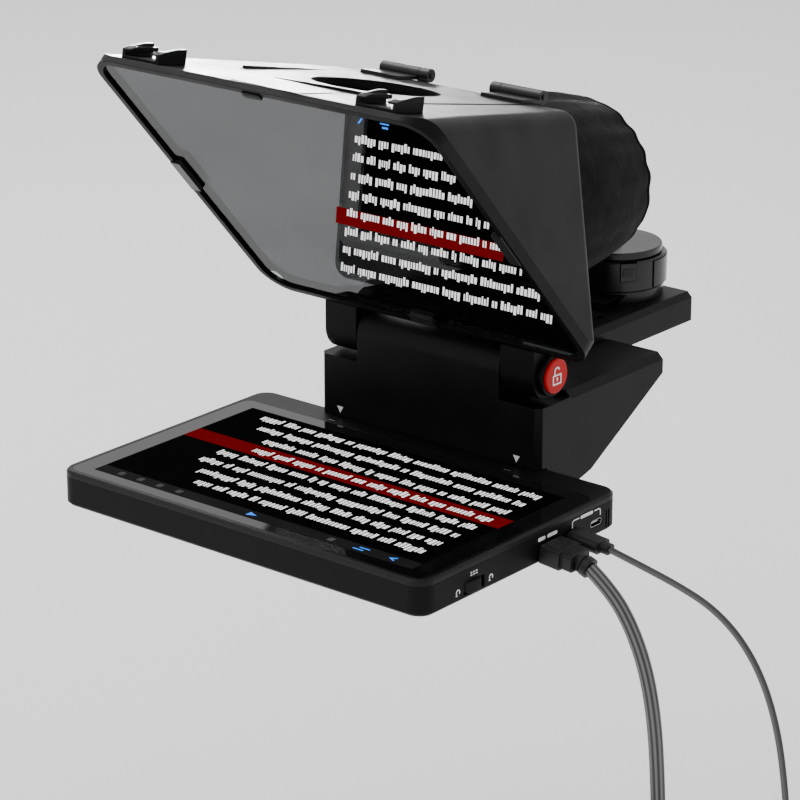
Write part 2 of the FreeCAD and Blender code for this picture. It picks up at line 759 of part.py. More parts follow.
# top lid, its two hinges, and their pins
lid_plate = prism("lid_plate", "XY_Plane", lid_outline(0), -d.lid_thick, 0)
lid_hole = cylinder("lid_hole", (0, -61.5, -5), 30.5, 10)
lid_lip_outer = cylinder("lid_lip_outer", (0, -61.5, -4.2), 33, 4.1)
lid_solid = fuse("lid_solid", lid_plate, lid_lip_outer)
keep(cut("top_lid", lid_solid, lid_hole), "top_lid", ROOF_FRAME)
for side, word in SIDES:
    fixed_x = sided(side, 19, 24.9)
    moving_x = sided(side, 25.1, 49)
    pin_x = sided(side, 18.3, 49.7)
    keep(fuse(
        f"hood_knuckle_{word}",
        cylinder(
            f"fixed_barrel_{word}", (fixed_x[0], d.lid_axis_back, d.lid_axis_up),
            d.knuckle_radius, fixed_x[1] - fixed_x[0], "x",
        ),
        cylinder(
            f"lid_pin_{word}", (pin_x[0], d.lid_axis_back, d.lid_axis_up), 1.2,
            pin_x[1] - pin_x[0], "x",
        ),
        box(f"fixed_leaf_{word}", fixed_x, (0.5, 2.4), (-12, 1)),
    ), f"hood_knuckle_{word}", ROOF_FRAME)
    moving_barrel = cylinder(
        f"moving_barrel_{word}", (moving_x[0], d.lid_axis_back, d.lid_axis_up),
        d.knuckle_radius, moving_x[1] - moving_x[0], "x",
    )
    moving_leaf = box(f"moving_leaf_{word}", moving_x, (-14, 1.6), (0.02, 1.7))
    pin_bore = cylinder(
        f"pin_bore_{word}", (moving_x[0] - 1, d.lid_axis_back, d.lid_axis_up), 1.25,
        moving_x[1] - moving_x[0] + 2, "x",
    )
    keep(cut(
        f"lid_knuckle_{word}", fuse(f"moving_solid_{word}", moving_barrel, moving_leaf), pin_bore,
    ), f"lid_knuckle_{word}", ROOF_FRAME)

# lens shroud: a sleeve of cloth on a ring behind the lens opening
ring_outer = cylinder("ring_outer", (0, 0, 0.05), d.ring_radius, 3.95)
ring_inner = cylinder("ring_inner", (0, 0, -1), d.lens_hole, 7)
keep(cut("shroud_ring", ring_outer, ring_inner), "shroud_ring", PANEL_FRAME)

SHROUD = [
    (-8.5, 136.3, 45.5, -99.75), (6, 134.6, 48, -96.5), (24, 132.6, 50.2, -93), (44, 131, 50.4, -90),
    (63.8, 130.3, 49.2, -90), (80.5, 129.3, 46.8, -90), (93.2, 128.9, 44, -90),
    (103.4, 128.8, 41.9, -90),
]


def sleeve(name, inset, reach):
    """A closed loft through the round sections of the sleeve."""
    rings = []
    for number, (along, up, radius, turn) in enumerate(SHROUD):
        shift = -reach if number == 0 else reach if number == len(SHROUD) - 1 else 0
        ring = doc.addObject("Part::Circle", f"{name}_section_{number}")
        ring.Placement = Placement(Vector(0, along + shift, up), Rotation(Vector(1, 0, 0), turn))
        bind(ring, {"Radius": radius - inset})
        rings.append(ring)
    loft = doc.addObject("Part::Loft", name)
    loft.Sections = rings
    loft.Solid = True
    loft.Ruled = True
    return loft


keep(cut(
    "lens_shroud", sleeve("sleeve_outer", 0, 0), sleeve("sleeve_inner", d.shroud_wall, 0.6),
), "lens_shroud")

# ---------------------------------------------------------------- camera rail and clamp

rail_body = prism(
    "rail_body", "XZ_Plane",
    [(-d.rail_half, d.rail_bottom), (d.rail_half, d.rail_bottom), (d.rail_half, 48),
     (d.rail_half + 2, 48), (d.rail_half + 2, 50), (d.rail_half, 50),
     (d.rail_half, d.rail_top - 2.8), (d.rail_half - 2.8, d.rail_top),
     (-d.rail_half + 2.8, d.rail_top), (-d.rail_half, d.rail_top - 2.8), (-d.rail_half, 50),
     (-d.rail_half - 2, 50), (-d.rail_half - 2, 48), (-d.rail_half, 48)],
    2, 76,
)
rail_tail = prism(
    "rail_tail", "XZ_Plane",
    [(-d.rail_half, d.rail_bottom), (d.rail_half, d.rail_bottom),
     (d.rail_half, d.rail_top - 2.8), (d.rail_half - 2.8, d.rail_top),
     (-d.rail_half + 2.8, d.rail_top), (-d.rail_half, d.rail_top - 2.8)],
    75, 153.3,
)
dovetail = prism(
    "dovetail", "XZ_Plane",
    [(-15.5, d.rail_top - 1), (15.5, d.rail_top - 1), (15.5, d.rail_top), (19, 65.2),
     (-19, 65.2), (-15.5, d.rail_top)],
    96, 150,
)
stop_hole = cylinder("stop_hole", (22, 88, d.rail_top - 4), 2.1, 6)
keep(cut("camera_rail", fuse("rail_solid", rail_body, rail_tail, dovetail), stop_hole),
     "camera_rail")

base_disc = cylinder("base_disc", (0, d.clamp_place, d.rail_top + 0.2), 25.6, 5.7)
base_channel = prism(
    "base_channel", "XZ_Plane",
    [(-15.8, d.rail_top), (15.8, d.rail_top), (19.3, 65.4), (-19.3, 65.4)],
    100, 160,
)
keep(cut("clamp_base", base_disc, base_channel), "clamp_base")


def sector(name, inner, outer, start, sweep, low, high):
    """A ring sector about the clamp's axis, from a start angle, in degrees from +X."""
    tubes = []
    for word, radius in (("outer", outer), ("inner", inner)):
        tube = doc.addObject("Part::Cylinder", f"{name}_{word}")
        extra = 0 if word == "outer" else 1
        bind(tube, {"Radius": radius, "Height": high - low + 2 * extra})
        tube.Angle = sweep if word == "outer" else 360
        turn = Rotation(Vector(0, 0, 1), start)
        tube.Placement = Placement(Vector(), turn)
        place(tube, (0, d.clamp_place, low - extra))
        tubes.append(tube)
    return cut(name, tubes[0], tubes[1])


PIVOT = math.radians(57)
pivot_x = 25.9 * math.cos(PIVOT)
pivot_y = d.clamp_place + 25.9 * math.sin(PIVOT)
CATCH_FRAME = Placement(Vector(0, d.clamp_place.value, 0), Rotation(Vector(0, 0, 1), -39))
body_disc = turned(
    "body_disc",
    [(0, 66.7), (d.clamp_radius - 0.8, 66.7), (d.clamp_radius, 67.5), (d.clamp_radius, 82.4),
     (d.clamp_radius - 0.8, 83.2), (0, 83.2)],
    (0, d.clamp_place, 0),
)
body_recess = cylinder("body_recess", (0, d.clamp_place, 77.2), 20, 8)
lever_notch = sector("lever_notch", 24, 29, -7, 73, 67.8, 82.2)
catch_pocket = framed(box("catch_pocket", (22.5, 29), (-4.5, 4.5), (72.8, 84)), CATCH_FRAME)
body_cut = cut("body_cut", body_disc, body_recess, lever_notch, catch_pocket)
lever_pin = cylinder("lever_pin", (pivot_x, pivot_y, 67.5), 0.7, 15)
keep(fuse("clamp_body", body_cut, lever_pin), "clamp_body")
lever_arc = sector("lever_arc", d.lever_inner, d.lever_outer, -6, 64.5, 68, 82)
lever_bore = cylinder("lever_bore", (pivot_x, pivot_y, 60), 0.75, 30)
keep(cut("clamp_lever", lever_arc, lever_bore), "clamp_lever")
catch_block = box("catch_block", (23.7, 27), (-4.2, 4.2), (73, 82.6))
catch_rib = box("catch_rib", (26.9, 27.5), (-3, 3), (76, 80))
keep(fuse("clamp_catch", catch_block, catch_rib), "clamp_catch", CATCH_FRAME)
keep(turned(
    "camera_plate",
    [(8.6, 77.4), (19.8, 77.4), (19.8, 83.4), (d.plate_radius - 0.6, 83.4),
     (d.plate_radius, 84), (d.plate_radius, 87), (d.plate_radius - 0.5, 87.5), (3.4, 87.5),
     (3.4, 81.4), (8.6, 81.4)],
    (0, d.clamp_place, 0),
), "camera_plate")
keep(turned(
    "camera_screw",
    [(0, 77.8), (8.4, 77.8), (8.4, 81.2), (d.screw_radius - 0.5, 81.2),
     (d.screw_radius - 0.5, 87.6), (d.screw_radius, 87.6), (d.screw_radius, 92.4),
     (d.screw_radius - 0.6, 93), (0, 93)],
    (0, d.clamp_place, 0),
), "camera_screw")

# ---------------------------------------------------------------- cords


def route_wire(points):
    """Straight runs joined by tangent arcs, as large as the two runs allow. Returns its radii."""
    edges = []
    radii = []
    start = points[0]
    for before, here, after in zip(points, points[1:], points[2:]):
        arriving = (here - before).normalize()
        leaving = (after - here).normalize()
        turn = arriving.getAngle(leaving)
        back = 0.45 * min((here - before).Length, (after - here).Length)
        radius = back / math.tan(turn / 2)
        first = here - arriving * back
        last = here + leaving * back
        inward = (leaving - arriving).normalize()
        centre = here + inward * (radius / math.cos(turn / 2))
        middle = centre - inward * radius
        edges.append(Part.LineSegment(start, first).toShape())
        edges.append(Part.Arc(first, middle, last).toShape())
        radii.append(radius)
        start = last
    edges.append(Part.LineSegment(start, points[-1]).toShape())
    return Part.Wire(edges), radii


def cord(name, points, radius):
    """A plain round tube along a route."""
    wire, radii = route_wire(points)
    heading = points[1] - points[0]
    section = Part.Wire(Part.makeCircle(radius, points[0], heading))
    thing = doc.addObject("Part::Feature", name)
    thing.Shape = wire.makePipeShell([section], True, False)
    expected = math.pi * radius * radius * wire.Length
    print(name, "length", round(wire.Length, 1), "radii", [round(r) for r in radii],
          "volume ratio", round(thing.Shape.Volume / expected, 4))
    return thing


HDMI_ROUTE = [
    (136.1, 3.9), (148.7, -4.3), (160.0, -18.8), (168.7, -38), (174, -62), (176.6, -90),
    (178, -117), (178, -141.3),
]
USB_ROUTE = [
    (134.4, 7.4), (150, 4.4), (172, 0), (192, -6), (208.5, -17.6), (221, -34.8),
    (229.6, -58), (234.6, -86), (236.8, -109), (236.8, -127.4),
]
HDMI_COIL = (140, -158)
USB_COIL = (219.2, -135)


def in_plane(route, place_along):
    return [Vector(across, value_of(place_along), up) for across, up in route]


def coil_ring(name, centre, front, back, turn_radius, cord_radius):
    """The outer shape of a coil: turns side by side about an axis along Y."""
    middle = (centre[0], front, centre[1])
    outer = cylinder(name + "_outer", middle, turn_radius + cord_radius, back - front, "y")
    through = (centre[0], front - 1, centre[1])
    inner = cylinder(name + "_inner", through, turn_radius - cord_radius, back - front + 2, "y")
    return cut(name, outer, inner)


def solid_coil(name, centre, turn_radius, cord_radius):
    return cylinder(name, (centre[0], -150, centre[1]), turn_radius + cord_radius, 140, "y")


hdmi_tube = cord("hdmi_tube", in_plane(HDMI_ROUTE, d.hdmi_place), d.hdmi_cord.value)
usb_tube = cord("usb_tube", in_plane(USB_ROUTE, d.usb_place), d.usb_cord.value)
keep(cut("hdmi_cable", hdmi_tube, solid_coil(
    "hdmi_coil_space", HDMI_COIL, d.hdmi_turn, d.hdmi_cord,
)), "hdmi_cable")
keep(cut("usb_c_cable", usb_tube, solid_coil(
    "usb_coil_space", USB_COIL, d.usb_turn, d.usb_cord,
)), "usb_c_cable")
keep(coil_ring("hdmi_coil", HDMI_COIL, -113.1, -70.4, d.hdmi_turn, d.hdmi_cord), "hdmi_coil")
keep(coil_ring("usb_c_coil", USB_COIL, -81.3, -54.8, d.usb_turn, d.usb_cord), "usb_c_coil")

# the plugs at the monitor: a straight tongue in the socket, a grip that sags a little
hdmi_grip = rounded("hdmi_grip", box("hdmi_grip_box", (0, 11), (-8.5, 8.5), (-4.7, 4.7)), 1.4,
                    runs_along_x)
hdmi_step = rounded("hdmi_step", box("hdmi_step_box", (10, 17), (-7.2, 7.2), (-4.1, 4.1)), 1.6,
                    runs_along_x)
hdmi_front = fuse("hdmi_front", hdmi_grip, hdmi_step)
hdmi_front.Placement = Placement(
    Vector(113.1, d.hdmi_place.value, d.hdmi_level.value), Rotation(Vector(0, 1, 0), 5),
)
hdmi_relief = fuse(
    "hdmi_relief",
    cylinder("relief_neck", (-1.5, 0, 0), 3.9, 7.9, "x"),
    cylinder("relief_ring_1", (0.9, 0, 0), 4.7, 1.3, "x"),
    cylinder("relief_ring_2", (3.2, 0, 0), 5, 3.2, "x"),
)
hdmi_relief.Placement = Placement(
    Vector(130.03, d.hdmi_place.value, 6.12), Rotation(Vector(0, 1, 0), 20),
)
hdmi_tongue = box(
    "hdmi_tongue", (104, 115), (d.hdmi_place - 5.1, d.hdmi_place + 5.1),
    (d.hdmi_level - 1.1, d.hdmi_level + 1.1),
)
keep(fuse("hdmi_plug", hdmi_front, hdmi_relief, hdmi_tongue), "hdmi_plug")

usb_grip = rounded("usb_grip", box("usb_grip_box", (0, 17), (-5.8, 5.8), (-3, 3)), 2.8,
                   runs_along_x)
usb_neck = rounded("usb_neck", box("usb_neck_box", (16, 21.4), (-3.4, 3.4), (-2.5, 2.5)), 2.3,
                   runs_along_x)
usb_front = fuse("usb_front", usb_grip, usb_neck)
usb_front.Placement = Placement(
    Vector(113.1, d.usb_place.value, d.usb_level.value), Rotation(Vector(0, 1, 0), 5),
)
usb_tongue_blank = box(
    "usb_tongue_blank", (106, 115), (d.usb_place - 4.05, d.usb_place + 4.05),
    (d.usb_level - 1.2, d.usb_level + 1.2),
)
usb_tongue = rounded("usb_tongue", usb_tongue_blank, 1.15, runs_along_x)
keep(fuse("usb_c_plug", usb_front, usb_tongue), "usb_c_plug")

# the plugs at the far ends hang from the last turn of each coil
HDMI_END = -109.5
USB_END = -79.6
far_hdmi = fuse(
    "far_hdmi",
    box("far_hdmi_grip", (178 - 5.5, 178 + 5.5), (HDMI_END - 10.2, HDMI_END + 10.2),
        (-216, -192)),
    box("far_hdmi_shell", (178 - 2.25, 178 + 2.25), (HDMI_END - 6.95, HDMI_END + 6.95),
        (-228, -215)),
    cone("far_hdmi_relief", (178, HDMI_END, -193), 5.4, 4.4, 19),
)
keep(cut("hdmi_far_plug", far_hdmi, solid_coil(
    "far_hdmi_space", HDMI_COIL, d.hdmi_turn, d.hdmi_cord,
)), "hdmi_far_plug")
far_usb = fuse(
    "far_usb",
    box("far_usb_grip", (236.8 - 3.1, 236.8 + 3.1), (USB_END - 5.9, USB_END + 5.9),
        (-176, -154)),
    box("far_usb_shell", (236.8 - 1.2, 236.8 + 1.2), (USB_END - 4.15, USB_END + 4.15),
        (-182.5, -175)),
    cone("far_usb_relief", (236.8, USB_END, -155), 2.7, 2.1, 12.4),
)
keep(cut("usb_c_far_plug", far_usb, solid_coil(
    "far_usb_space", USB_COIL, d.usb_turn, d.usb_cord,
)), "usb_c_far_plug")

# ---------------------------------------------------------------- checks and export

doc.recompute()
for thing in doc.Objects:
    for word in ("Invalid", "Error"):
        if word in thing.State:
            raise RuntimeError(f"{thing.Name} failed: {thing.State}")
for part in parts:
    if part.Shape.isNull() or not part.Shape.isValid() or part.Shape.Volume <= 0:
        raise RuntimeError(f"{part.Label} has no valid shape")

os.makedirs("parts", exist_ok=True)
for part in parts:
    part.Shape.exportStep(f"parts/{part.Label}.step")
print(len(parts), "sub-parts written")
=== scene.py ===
import math
import random

import bmesh
import bpy
from mathutils import Matrix, Vector


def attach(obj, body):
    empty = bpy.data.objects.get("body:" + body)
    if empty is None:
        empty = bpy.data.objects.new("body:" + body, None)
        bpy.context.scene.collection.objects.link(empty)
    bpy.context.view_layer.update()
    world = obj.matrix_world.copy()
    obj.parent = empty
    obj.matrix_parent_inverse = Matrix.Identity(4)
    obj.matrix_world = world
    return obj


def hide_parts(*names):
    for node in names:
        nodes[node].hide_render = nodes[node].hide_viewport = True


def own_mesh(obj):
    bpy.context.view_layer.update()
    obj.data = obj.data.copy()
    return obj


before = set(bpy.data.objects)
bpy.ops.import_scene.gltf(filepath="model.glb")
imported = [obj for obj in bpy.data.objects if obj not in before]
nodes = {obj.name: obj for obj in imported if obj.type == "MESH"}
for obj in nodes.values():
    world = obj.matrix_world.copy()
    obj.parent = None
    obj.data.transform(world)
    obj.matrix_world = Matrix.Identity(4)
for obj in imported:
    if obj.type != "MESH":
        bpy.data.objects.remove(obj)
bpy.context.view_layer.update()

# Places and sizes are in millimetres, and these frames carry them to metres. A face has its
# frame's Z pointing out of it.
MM = 0.001
MONITOR_TOP = 20.5
MONITOR_SIDE = 112.5
BLOCK_FRONT = -25.2


def mm(x, y, z):
    return Vector((x * MM, y * MM, z * MM))


def tilted(base, degrees, axis="X"):
    """A frame at base, turned about an axis."""
    return (
        Matrix.Translation(mm(*base)) @ Matrix.Rotation(math.radians(degrees), 4, axis)
        @ Matrix.Scale(MM, 4)
    )


def facing_right(base):
    """A frame at base on a wall that faces +X: its X runs back and its Y runs up."""
    x, y, z = mm(*base)
    return Matrix(((0, 0, MM, x), (MM, 0, 0, y), (0, MM, 0, z), (0, 0, 0, 1)))


PLAIN = Matrix.Scale(MM, 4)
GLASS_FRAME = tilted((0, -25.2, 80.45), 131.8)
ROOF_FRAME = tilted((0, -2.7, 194.4), -11.3)
TOP_FRAME = Matrix.Translation(mm(0, 0, MONITOR_TOP)) @ PLAIN
SIDE_FRAME = facing_right((MONITOR_SIDE, 0, 0))
BUTTON_FRAME = facing_right((69.8, -12.4, 66))
BLOCK_FRAME = Matrix((
    (MM, 0, 0, 0), (0, 0, -MM, BLOCK_FRONT * MM), (0, MM, 0, 0), (0, 0, 0, 1),
))
PLUG_FRAME = tilted((113.1, -74, 7.6), 5, "Y")
CATCH_FRAME = tilted((0, 131, 0), -39, "Z")

# ---------------------------------------------------------------- camera

CAMERA_PLACE = (0.9129, -1.1541, 0.5556)
CAMERA_TARGET = (-0.0230, -0.0177, 0.0346)

camera_data = bpy.data.cameras.new("camera")
camera = bpy.data.objects.new("camera", camera_data)
bpy.context.scene.collection.objects.link(camera)
camera_data.sensor_width = 36
camera_data.lens = 141.4
camera_data.clip_start = 0.05
camera_data.dof.use_dof = False
camera.location = CAMERA_PLACE
looking = Vector(CAMERA_TARGET) - camera.location
camera.rotation_euler = looking.to_track_quat("-Z", "Y").to_euler()
bpy.context.scene.camera = camera

# ---------------------------------------------------------------- materials


def new_material(name):
    material = bpy.data.materials.new(name)
    material.use_nodes = True
    tree = material.node_tree
    shader = tree.nodes["Principled BSDF"]
    return material, tree, shader


def node(tree, kind, **values):
    """A node with its sockets, or its own settings, set by name."""
    made = tree.nodes.new(kind)
    for name, value in values.items():
        if name in made.inputs:
            made.inputs[name].default_value = value
        else:
            setattr(made, name, value)
    return made


def noise(tree, scale, detail=3, rough=0.5):
    """Noise over the object's own space: scale is in features per metre."""
    place = node(tree, "ShaderNodeTexCoord")
    made = node(tree, "ShaderNodeTexNoise", Scale=scale, Detail=detail, Roughness=rough)
    tree.links.new(place.outputs["Object"], made.inputs["Vector"])
    return made


def spread(tree, source, low, high, start=0.3, end=0.7):
    """The source's value, carried from start..end to low..high."""
    made = node(tree, "ShaderNodeMapRange")
    made.inputs["From Min"].default_value = start
    made.inputs["From Max"].default_value = end
    made.inputs["To Min"].default_value = low
    made.inputs["To Max"].default_value = high
    tree.links.new(source, made.inputs["Value"])
    return made.outputs["Result"]


def tint(tree, source, dark, light, start=0.3, end=0.7):
    """A colour between dark and light, as the source goes from start to end."""
    made = node(tree, "ShaderNodeValToRGB")
    made.color_ramp.elements[0].position = start
    made.color_ramp.elements[0].color = (*dark, 1)
    made.color_ramp.elements[1].position = end
    made.color_ramp.elements[1].color = (*light, 1)
    tree.links.new(source, made.inputs["Fac"])
    return made.outputs["Color"]


def moulded(name, dark, light, roughness, grain=1500, depth=0.03, edge=0.5, metallic=0.0,
            specular=0.5):
    """Moulded plastic or anodised metal: mottled sheen, fine grain and soft worn edges."""
    material, tree, shader = new_material(name)
    broad = noise(tree, 35, 4)
    fine = noise(tree, grain, 5, 0.6)
    tree.links.new(tint(tree, broad.outputs["Fac"], dark, light), shader.inputs["Base Color"])
    tree.links.new(
        spread(tree, broad.outputs["Fac"], roughness - 0.05, roughness + 0.06),
        shader.inputs["Roughness"],
    )
    shader.inputs["Metallic"].default_value = metallic
    shader.inputs["Specular IOR Level"].default_value = specular
    soft_edge = node(tree, "ShaderNodeBevel", samples=4)
    soft_edge.inputs["Radius"].default_value = edge * MM
    bump = node(tree, "ShaderNodeBump", Strength=depth, Distance=0.001)
    tree.links.new(fine.outputs["Fac"], bump.inputs["Height"])
    tree.links.new(soft_edge.outputs["Normal"], bump.inputs["Normal"])
    tree.links.new(bump.outputs["Normal"], shader.inputs["Normal"])
    return material


def glowing(name, colour, strength):
    """A lit mark on the display, or a painted reflection of one on the glass, a little uneven."""
    material, tree, shader = new_material(name)
    shader.inputs["Base Color"].default_value = (0, 0, 0, 1)
    shader.inputs["Specular IOR Level"].default_value = 0
    shader.inputs["Roughness"].default_value = 0.8
    shader.inputs["Emission Color"].default_value = (*colour, 1)
    fine = noise(tree, 4000, 2)
    tree.links.new(
        spread(tree, fine.outputs["Fac"], strength * 0.9, strength * 1.1),
        shader.inputs["Emission Strength"],
    )
    return material


def printed(name, dark, light, roughness=0.5):
    """Screen-printed ink or satin plastic, a little mottled."""
    material, tree, shader = new_material(name)
    fine = noise(tree, 900, 3)
    tree.links.new(tint(tree, fine.outputs["Fac"], dark, light), shader.inputs["Base Color"])
    tree.links.new(
        spread(tree, fine.outputs["Fac"], roughness - 0.05, roughness + 0.05),
        shader.inputs["Roughness"],
    )
    return material


hood_plastic = moulded(
    "hood_plastic", (0.0020, 0.0020, 0.0022), (0.0032, 0.0032, 0.0034), 0.46,
    grain=1700, depth=0.05, edge=0.6, specular=0.11,
)
monitor_plastic = moulded(
    "monitor_plastic", (0.0024, 0.0024, 0.0026), (0.0036, 0.0036, 0.0038), 0.48,
    grain=1500, depth=0.06, edge=0.6, specular=0.11,
)
bezel_plastic = moulded(
    "bezel_plastic", (0.0034, 0.0034, 0.0036), (0.0050, 0.0050, 0.0052), 0.40,
    grain=1500, depth=0.04, specular=0.20,
)
black_metal = moulded(
    "black_metal", (0.0022, 0.0022, 0.0024), (0.0036, 0.0036, 0.0038), 0.40,
    grain=2600, depth=0.04, edge=0.6, specular=0.12,
)
hinge_metal = moulded(
    "hinge_metal", (0.008, 0.008, 0.0084), (0.014, 0.014, 0.0145), 0.40,
    grain=2600, specular=0.3,
)
clamp_metal = moulded(
    "clamp_metal", (0.006, 0.006, 0.0063), (0.012, 0.012, 0.0125), 0.24,
    grain=3000, metallic=0.3,
)
dark_inside = moulded(
    "dark_inside", (0.003, 0.003, 0.003), (0.005, 0.005, 0.005), 0.85,
    grain=900, depth=0.1, edge=0.3, specular=0.2,
)
button_red = moulded(
    "button_red", (0.40, 0.0010, 0.0010), (0.48, 0.0016, 0.0016), 0.34,
    grain=900, depth=0.01, edge=0.4, specular=0.15,
)
plug_plastic = moulded(
    "plug_plastic", (0.006, 0.006, 0.0064), (0.011, 0.011, 0.0115), 0.46,
    grain=1800, depth=0.12, specular=0.3,
)
rubber_black = moulded(
    "rubber_black", (0.006, 0.006, 0.006), (0.010, 0.010, 0.010), 0.72,
    grain=2200, depth=0.12, edge=0.4, specular=0.25,
)
bare_steel = moulded(
    "bare_steel", (0.34, 0.34, 0.35), (0.48, 0.48, 0.49), 0.24,
    grain=5000, edge=0.2, metallic=1.0,
)
brass_metal = moulded(
    "brass_metal", (0.42, 0.27, 0.08), (0.55, 0.36, 0.12), 0.26,
    grain=4000, edge=0.2, metallic=1.0,
)
circuit_green = moulded(
    "circuit_green", (0.005, 0.06, 0.02), (0.01, 0.1, 0.04), 0.35,
    grain=1200, depth=0.05, edge=0.2,
)
white_print = printed("white_print", (0.70, 0.70, 0.70), (0.85, 0.85, 0.85))
grey_print = printed("grey_print", (0.10, 0.10, 0.11), (0.14, 0.14, 0.15))
clip_plastic = printed("clip_plastic", (0.012, 0.012, 0.013), (0.018, 0.018, 0.019), 0.35)
screen_white = glowing("screen_white", (1, 1, 1), 1.5)
screen_red = glowing("screen_red", (0.16, 0.002, 0.003), 1.0)
screen_blue = glowing("screen_blue", (0.03, 0.25, 1.0), 1.6)
screen_grey = glowing("screen_grey", (0.5, 0.5, 0.52), 0.16)
screen_off = moulded(
    "screen_off", (0.0020, 0.0020, 0.0022), (0.0026, 0.0026, 0.0028), 0.6,
    grain=2000, depth=0.0, edge=0.1, specular=0,
)
screen_strip = moulded(
    "screen_strip", (0.012, 0.012, 0.0125), (0.016, 0.016, 0.0165), 0.6,
    grain=2000, depth=0.0, edge=0.1, specular=0,
)


def make_screen_glass():
    """Gloss cover glass with a black backing and faint smears."""
    material, tree, shader = new_material("screen_cover")
    broad = noise(tree, 18, 4)
    tree.links.new(
        tint(tree, broad.outputs["Fac"], (0.003, 0.003, 0.0035), (0.005, 0.005, 0.0055)),
        shader.inputs["Base Color"],
    )
    tree.links.new(
        spread(tree, broad.outputs["Fac"], 0.03, 0.08), shader.inputs["Roughness"],
    )
    shader.inputs["Specular IOR Level"].default_value = 0.6
    return material


def make_beam_splitter():
    """Half-silvered glass: part mirror, part clear, a little smeared."""
    material = bpy.data.materials.new("half_mirror")
    material.use_nodes = True
    tree = material.node_tree
    tree.nodes.clear()
    out = node(tree, "ShaderNodeOutputMaterial")
    mirror = node(tree, "ShaderNodeBsdfGlossy")
    mirror.inputs["Color"].default_value = (0.86, 0.87, 0.88, 1)
    clear = node(tree, "ShaderNodeBsdfTransparent")
    clear.inputs["Color"].default_value = (0.60, 0.61, 0.62, 1)
    share = node(tree, "ShaderNodeMixShader")
    smear = noise(tree, 25, 3)
    tree.links.new(
        spread(tree, smear.outputs["Fac"], 0.105, 0.118), share.inputs["Fac"],
    )
    mirror.inputs["Roughness"].default_value = 0.004
    tree.links.new(clear.outputs["BSDF"], share.inputs[1])
    tree.links.new(mirror.outputs["BSDF"], share.inputs[2])
    tree.links.new(share.outputs["Shader"], out.inputs["Surface"])
    return material


def make_cloth():
    """Soft napped cloth: lighter patches that paint the mottled sheen of crushed nap, over a fine
    weave.
    """
    material, tree, shader = new_material("shroud_cloth")
    crush_and_sheen_patches = noise(tree, 70, 6, 0.62)
    nap = noise(tree, 1500, 4, 0.7)
    # the lighter patches in the base colour are painted sheen of crushed nap; the same noise also
    # gives the cloth its broad bump
    tree.links.new(
        tint(
            tree, crush_and_sheen_patches.outputs["Fac"], (0.0018, 0.0018, 0.002), (0.008, 0.008, 0.0088),
            0.35, 0.7,
        ),
        shader.inputs["Base Color"],
    )
    shader.inputs["Roughness"].default_value = 0.92
    shader.inputs["Sheen Weight"].default_value = 0.045
    shader.inputs["Sheen Roughness"].default_value = 0.35
    shader.inputs["Specular IOR Level"].default_value = 0.15
    broad_bump = node(tree, "ShaderNodeBump", Strength=0.5, Distance=0.0025)
    tree.links.new(crush_and_sheen_patches.outputs["Fac"], broad_bump.inputs["Height"])
    fine_bump = node(tree, "ShaderNodeBump", Strength=0.5, Distance=0.0006)
    tree.links.new(nap.outputs["Fac"], fine_bump.inputs["Height"])
    tree.links.new(broad_bump.outputs["Normal"], fine_bump.inputs["Normal"])
    tree.links.new(fine_bump.outputs["Normal"], shader.inputs["Normal"])
    return material


def make_jacket(name, dark, light, ribs):
    """A cord's jacket: fine lengthwise ribs under a soft sheen, with painted light on each rib's
    crest and painted shade in its grooves.
    """
    material, tree, shader = new_material(name)
    place = node(tree, "ShaderNodeTexCoord")
    apart = node(tree, "ShaderNodeSeparateXYZ")
    tree.links.new(place.outputs["UV"], apart.inputs["Vector"])
    turn = node(tree, "ShaderNodeMath", operation="MULTIPLY")
    turn.inputs[1].default_value = ribs * math.tau
    tree.links.new(apart.outputs["Y"], turn.inputs[0])
    wave = node(tree, "ShaderNodeMath", operation="SINE")
    tree.links.new(turn.outputs["Value"], wave.inputs[0])
    # the colour follows the ribs' relief: painted light on the crests, painted shade in the grooves
    tree.links.new(
        tint(tree, spread(tree, wave.outputs["Value"], 0, 1, -1, 1), dark, light, 0.1, 0.9),
        shader.inputs["Base Color"],
    )
    fine = noise(tree, 900, 3)
    tree.links.new(
        spread(tree, fine.outputs["Fac"], 0.36, 0.5), shader.inputs["Roughness"],
    )
    bump = node(tree, "ShaderNodeBump", Strength=0.6, Distance=0.0004)
    tree.links.new(wave.outputs["Value"], bump.inputs["Height"])
    tree.links.new(bump.outputs["Normal"], shader.inputs["Normal"])
    return material


screen_cover = make_screen_glass()
half_mirror = make_beam_splitter()
shroud_cloth = make_cloth()
# each jacket's two colours are the painted groove shade and the painted crest light of its ribs
hdmi_jacket = make_jacket("hdmi_jacket", (0.02, 0.02, 0.021), (0.16, 0.16, 0.165), 9)
usb_jacket = make_jacket("usb_jacket", (0.03, 0.03, 0.031), (0.10, 0.10, 0.105), 3)

